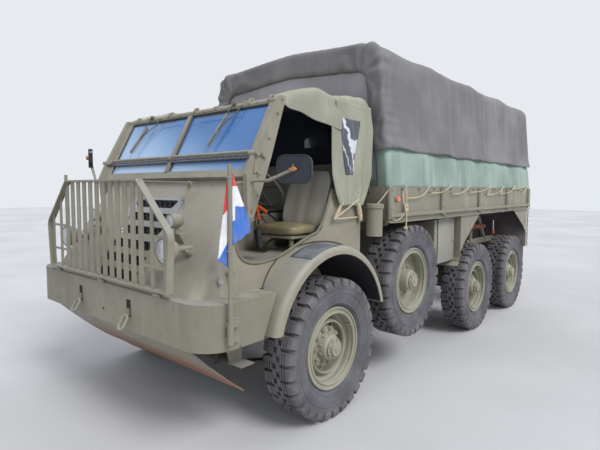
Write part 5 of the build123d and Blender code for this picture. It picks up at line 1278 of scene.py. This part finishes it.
for x in (-0.80, -0.30, 0.04, 0.66, 0.86):
    single += [(rod, (x - 0.018, 0.585, 0.016), (x + 0.018, 0.585, 0.016), 0.011),
               bar(x - 0.012, x + 0.012, (-0.012, 0.03), -0.004, 0.006,
                   along(SCREEN_DOWN, origin=on_screen(0, 0.555, 0.026)))]
fittings("screen_bars", olive, "olive_paint", rows, single, on_screen)
rows = []
for low, high in ((0.018, 0.108), (0.158, 0.522)):
    corners = [(0.024, low, 0.008), (0.857, low, 0.008), (0.857, high, 0.008), (0.024, high, 0.008)]
    rows += [(rod, a, b, 0.0055, 8) for a, b in zip(corners, corners[1:] + corners[:1])]
fittings("screen_seals", black, "black_rubber", rows, put=on_screen)
rows = []
for x, drop, near, far in ((0.509, 0.452, 0.584, 0.104), (-0.553, -0.585, -0.43, -0.15)):
    rows += [(rod, (x, 0.560, 0.012), (x, 0.560, 0.044), 0.022, 20, 0.016),
             (rod, (x, 0.560, 0.040), (drop, 0.335, 0.046), 0.0042, 8),
             (rod, (near, 0.545, 0.024), (near, 0.470, 0.036), 0.0045, 8),
             (rod, (near, 0.478, 0.034), (drop, 0.335, 0.046), 0.0030, 8),
             (rod, (near, 0.484, 0.034), (far, 0.484, 0.034), 0.0042, 8)]
fittings("wiper_arms", olive_under_shaded, "black_rubber", (), rows, on_screen, stands_for=("wipers",))
rows = []
for start, end in (((0.493, 0.468), (0.411, 0.210)), ((-0.539, 0.454), (-0.632, 0.211))):
    rows += [(rod, (*start, 0.044), (*end, 0.044), 0.0085, 10),
             (rod, (*start, 0.030), (*end, 0.030), 0.0045, 6)]
fittings("wiper_blades", steel, "black_rubber", (), rows, on_screen, stands_for=("wipers",))


def latch(form, foot):
    """A latch plate on a screen pillar."""
    place = along((0, 0.35, 0.94), (0, 0.94, -0.35), foot)
    plate(form, [(-0.036, 0.075), (0.040, 0.065), (0.012, -0.065), (-0.008, -0.068)],
          0.006 if foot[0] > 0 else -0.006, place, 0.001)


rows = [(latch, (0.957, -0.575, 1.80)),
        (rod, (0.905, -0.585, 1.862), (0.985, -0.585, 1.862), 0.017, 14),
        (nut, (0.975, -0.548, 1.862), (1, 0, 0), 0.011, 0.01),
        (rod, (0.968, -0.60, 1.872), (0.972, -0.505, 1.838), 0.006, 8),
        (rod, (0.958, -0.572, 1.748), (0.980, -0.566, 1.728), 0.007, 8),
        (ring, (0.957, -0.612, 1.452), 0.012, 0.0035, "yz", 6, 16)]
rows += [(nut, (0.948 + (z - 1.426) * 0.0388, y, z), (1, 0, 0), 0.009, 0.006)
         for y, z in ((-0.400, 2.13), (-0.359, 2.225), (-0.470, 1.965), (-0.612, 1.50), (-0.560, 1.60))]
fittings("pillar_fittings", olive, "olive_paint", rows)


# Mirrors

MIRRORS = ((1, Vector((1.245, -0.550, 1.757))), (-1, Vector((-1.245, -0.600, 1.915))))
MIRROR_TURN = radians(24)
MIRROR_LINE = rounded_line([(0.0, -0.085), (0.110, -0.085), (0.110, 0.085), (-0.110, 0.085),
                            (-0.110, -0.085), (0.0, -0.085)], [0.05] * 4, 8)[:-1]
rims, knuckles, glasses, arms = bmesh.new(), bmesh.new(), bmesh.new(), []
for side, middle in MIRRORS:
    across = Vector((side * cos(MIRROR_TURN), sin(MIRROR_TURN), 0))
    back = Vector((side * sin(MIRROR_TURN), -cos(MIRROR_TURN), 0))
    up = Vector((0, 0, 1))
    for out in (0.001, -0.025):
        tube(rims, [middle + across * point.x * 0.965 + back * out + up * point.y * 0.965
                    for point in MIRROR_LINE], 0.0042, 8)
    spot = middle + back * 0.004
    rod(knuckles, spot, spot + back * 0.022, 0.016, 12, 0.012)
    rod(knuckles, spot + back * 0.012 - across * 0.022, spot + back * 0.012 + across * 0.022, 0.007, 8)
    rod(knuckles, spot + back * 0.015, spot + back * 0.015 + up * 0.026, 0.006, 8)
    plate(glasses, [(point.x * 0.93, point.y * 0.93) for point in MIRROR_LINE], -0.001,
          along(up, across * side, middle - back * 0.0265), 0)
    bend, foot = Vector((side * 1.095, -0.610, 1.690)), Vector((side * 0.975, -0.611, 1.690))
    arms.append([(side * 0.862, -0.655, 1.674), (side * 0.935, -0.628, 1.680), foot]
                + [bend.lerp(foot, share) for share in (0.5, 0.15, 0.03)]
                + [bend.lerp(middle, share) for share in (0.03, 0.15, 0.5, 1.0)])
new_piece("mirror_rims", rims, black, "black_rubber", smooth=60)
new_piece("mirror_knuckles", knuckles, rust, "olive_paint")
new_piece("mirror_glasses", glasses, mirror_glass, "window_glass")
rope_line("mirror_arms", arms, 0.0108, olive)


# Curtain windows, rear windows and small parts in the cab

WINDOW_FLAT = (0.19, 0.43)
WINDOW_TOP = Vector((2.172, 0.212, 0.490))
WINDOW_LOW = Vector((1.752, 0.308, 0.392))


def curtain_window_place(u, v, side):
    """The clear strip let into a side curtain, following its folds a little."""
    z, left, right = WINDOW_TOP.lerp(WINDOW_LOW, v)
    y = left + (right - left) * u
    down = (CURTAIN_TOP - z) / (CURTAIN_TOP - CURTAIN_FOOT)
    x, _, _ = side_curtain_place(min(max((y - 0.13) / 0.53, 0), 1), down, side)
    return (x + side * 0.0045, y, z)


for word, side in SIDES:
    strip = cloth(f"curtain_window_{word}", WINDOW_FLAT, (24, 40),
                  lambda u, v: curtain_window_place(u, v, side), film, "window_glass", wall=0.001)
fittings("rear_windows", film, "window_glass", [
    (block, (0.305, 0.668, 2.015), (0.575, 0.6725, 2.235), 0.001)])
fittings("lever_sleeves", orange_sleeve, "black_rubber", (), [
    (rod, (0.385, -0.03, 1.515), end, 0.013, 14, 0.015)
    for end in ((0.390, 0.0, 1.395), (0.400, 0.075, 1.450))], smooth=60)
fittings("cab_small_parts", black, "black_rubber", (), [
    (rod, (0.400, 0.07, 1.453), (0.415, 0.17, 1.385), 0.008),
    (rod, (0.390, -0.005, 1.40), (0.394, -0.02, 1.17), 0.008),
    (rod, (0.78, -0.395, 1.362), (0.79, -0.385, 1.245), 0.026, 20)])
# Painted shade: near-black plates set back in the bumper's slots.
fittings("bumper_slot_shades", painted_shade_inside, "olive_paint", [
    (block, (0.3085, -1.1115, 0.8205), (0.3615, -1.1095, 0.9295), 0)])

# Painted shade: a near-black lining inside the front wheel arches.
# The lining's section, in x and radius, and how far above the arch's centre it ends.
LINING = ((0.645, 0.5985), (1.183, 0.5985), (1.183, 0.5965), (0.645, 0.5965))
LINING_FOOT = 0.165
form = bmesh.new()
foot = asin(LINING_FOOT / 0.598)
for side in (1, -1):
    strip = form.faces.new([form.verts.new((side * x, radius * cos(foot), radius * sin(foot)))
                            for x, radius in LINING])
    bmesh.ops.spin(form, geom=strip.verts[:] + strip.edges[:] + [strip], cent=(0, 0, 0), axis=(1, 0, 0),
                   angle=pi - 2 * foot, steps=48)
bmesh.ops.translate(form, verts=form.verts, vec=(0, 0, ARCH_Z))
bmesh.ops.recalc_face_normals(form, faces=form.faces)
new_piece("wheel_arch_linings", form, arch_painted_shade, "under_paint")


# Bed and under the bed

fittings("bogie_struts", olive, "under_paint", [
    (rod, (0.745, 3.675, 0.93), (0.745, 3.716, 1.36), 0.028, 12),
    (rod, (0.745, 4.215, 0.955), (0.745, 3.900, 1.345), 0.028, 12),
    (block, (0.733, 3.56, 0.885), (0.757, 4.64, 0.965), 0.003)])
fittings("under_lamp_stems", chrome, "olive_paint", [
    (rod, (0.745, 4.62, 1.035), (0.745, 4.62, 1.19), 0.014)])
fittings("under_lamp_lenses", orange_lens, "lamp_glass", [
    (rod, (0.745, 4.62, 0.985), (0.745, 4.62, 1.04), 0.032, 20, 0.026)])
rows, bolts = [], []
for y in STAKES:
    rows += [(block, (1.118, y - 0.045, 1.392), (1.1450, y + 0.050, 1.655), 0.003),
             (block, (1.118, y + 0.010, 1.386), (1.1455, y + 0.062, 1.400), 0.002)]
    bolts += [(nut, (1.148, y - 0.012, z), (1, 0, 0), 0.009, 0.007) for z in (1.475, 1.635)]
    bolts.append((nut, (1.1545, y + 0.005, 1.377), (1, 0, 0), 0.010, 0.007))
bolts += [(nut, (1.061, y, 1.20), (1, 0, 0), 0.006, 0.005, False) for y in (1.845, 1.90, 2.30)]
fittings("stake_covers", olive, "olive_paint", rows)
fittings("tool_box_tops", olive, "olive_paint", [
    (block, (0.70, 1.842, 1.286), (1.058, 2.320, 1.352), 0.004)])
fittings("tool_box_doors", box_door, "olive_paint", [
    (block, (1.0665, 1.905, 0.880), (1.0705, 2.318, 1.345), 0.003)])
rows = [(nut, (1.085, 4.925, 0.66 + k * 0.105), (0, -1, 0), 0.008, 0.004, False) for k in range(7)]
fittings("rear_flaps", flap_rubber, "black_rubber", [
    (block, (0.42, 4.925, 0.62), (1.105, 4.931, 1.372), 0.002)] + rows)
fittings("bed_bolts", olive, "olive_paint", bolts)
rows = [(block, (1.066, 2.275, 1.07), (1.078, 2.298, 1.10), 0.002),
        (block, (0.87, 2.361, 1.352), (1.125, 2.375, 1.36), 0.002),
        (rod, (1.085, 0.628, 1.516), (1.085, 0.628, 1.524), 0.0745, 36, 0.066),
        (ring, (1.085, 0.628, 1.485), 0.067, 0.004, "xy", 8, 40),
        (ring, (1.085, 0.628, 1.268), 0.064, 0.004, "xy", 8, 40)]
rows += [(block, (x, 2.361, 1.00), (x + 0.012, 2.372, 1.34), 0.002) for x in (1.02, 1.09)]
for z in (0.95, 1.20):
    rows += [(rod, (1.066, 1.962, z - 0.028), (1.066, 1.962, z + 0.028), 0.0065, 10),
             (block, (1.058, 1.930, z - 0.022), (1.0645, 1.962, z + 0.022), 0.001)]
fittings("bed_fittings", olive, "olive_paint", rows)
fittings("bracket_tubes", primer_red, "under_paint", [
    (rod, (0.775, 3.59, 1.150), (0.775, 4.11, 1.130), 0.034, 20)], smooth=50)


def chain(form, top, links, pitch):
    """A hanging chain of oval links, each turned across the last."""
    for k in range(links):
        middle = Vector(top) - Vector((0, 0, (k + 0.5) * pitch))
        ring(form, middle, 0.0085, 0.0028, "xz" if k % 2 else "yz", 6, 12, pitch * 0.72)


fittings("gate_chains", olive_under_shaded, "under_paint", [(chain, (1.125, 5.028, 1.365), 17, 0.034)], smooth=60)


# Camera, light and floor

CAMERA_PLACE = (3.056, -4.584, 1.637)
CAMERA_LENS = 27.67
CAMERA_YAW, CAMERA_PITCH, CAMERA_ROLL = -0.7066, -0.0769, 0.0046
SUN_TURN = (radians(44), radians(8), radians(73))
SUN_STRENGTH, SUN_ANGLE = 2.2, radians(25)
SKY_LIGHT, SKY_SEEN = (0.80, 0.83, 0.89, 1), (0.80, 0.83, 0.87, 1)


def make_camera():
    """The photograph's view."""
    ahead = Vector((sin(CAMERA_YAW) * cos(CAMERA_PITCH), cos(CAMERA_YAW) * cos(CAMERA_PITCH),
                    sin(CAMERA_PITCH)))
    level = Vector((cos(CAMERA_YAW), -sin(CAMERA_YAW), 0.0))
    above = level.cross(ahead)
    right = level * cos(CAMERA_ROLL) + above * sin(CAMERA_ROLL)
    up = above * cos(CAMERA_ROLL) - level * sin(CAMERA_ROLL)
    camera = bpy.data.objects.new("camera", bpy.data.cameras.new("camera"))
    camera.data.lens = CAMERA_LENS
    camera.data.sensor_width = 36.0
    camera.data.clip_end = 100.0
    turn = Matrix((right, up, -ahead)).transposed().to_4x4()
    camera.matrix_world = Matrix.Translation(CAMERA_PLACE) @ turn
    scene.collection.objects.link(camera)
    scene.camera = camera


def make_light():
    """Even sky light with one soft sun, and a pale backdrop that only the camera and gloss see."""
    scene.world = bpy.data.worlds.new("sky")
    scene.world.use_nodes = True
    tree = scene.world.node_tree
    path = tree.nodes.new("ShaderNodeLightPath")
    seen = path.outputs["Is Camera Ray"]
    for kind in ("Is Transmission Ray", "Is Glossy Ray"):
        either = tree.nodes.new("ShaderNodeMath")
        either.operation = "MAXIMUM"
        tree.links.new(seen, either.inputs[0])
        tree.links.new(path.outputs[kind], either.inputs[1])
        seen = either.outputs[0]
    blend = tree.nodes.new("ShaderNodeMix")
    blend.data_type = "RGBA"
    blend.inputs[6].default_value = SKY_LIGHT
    blend.inputs[7].default_value = SKY_SEEN
    tree.links.new(seen, blend.inputs[0])
    tree.links.new(blend.outputs[2], tree.nodes["Background"].inputs["Color"])
    lamp = bpy.data.lights.new("sun", "SUN")
    lamp.energy = SUN_STRENGTH
    lamp.angle = SUN_ANGLE
    sun = bpy.data.objects.new("sun", lamp)
    sun.rotation_euler = SUN_TURN
    scene.collection.objects.link(sun)


def make_floor():
    """A plain pale floor."""
    form = bmesh.new()
    bmesh.ops.create_grid(form, x_segments=1, y_segments=1, size=40)
    mesh = bpy.data.meshes.new("floor")
    form.to_mesh(mesh)
    form.free()
    s = Shader("floor")
    tone = s.mix(s.ramp(s.cloud(0.4, 5), 0.35, 0.65), (0.50, 0.50, 0.51), (0.56, 0.56, 0.57))
    mesh.materials.append(s.done(tone, 0.9))
    floor = bpy.data.objects.new("floor", mesh)
    scene.collection.objects.link(floor)


make_camera()
make_light()
make_floor()
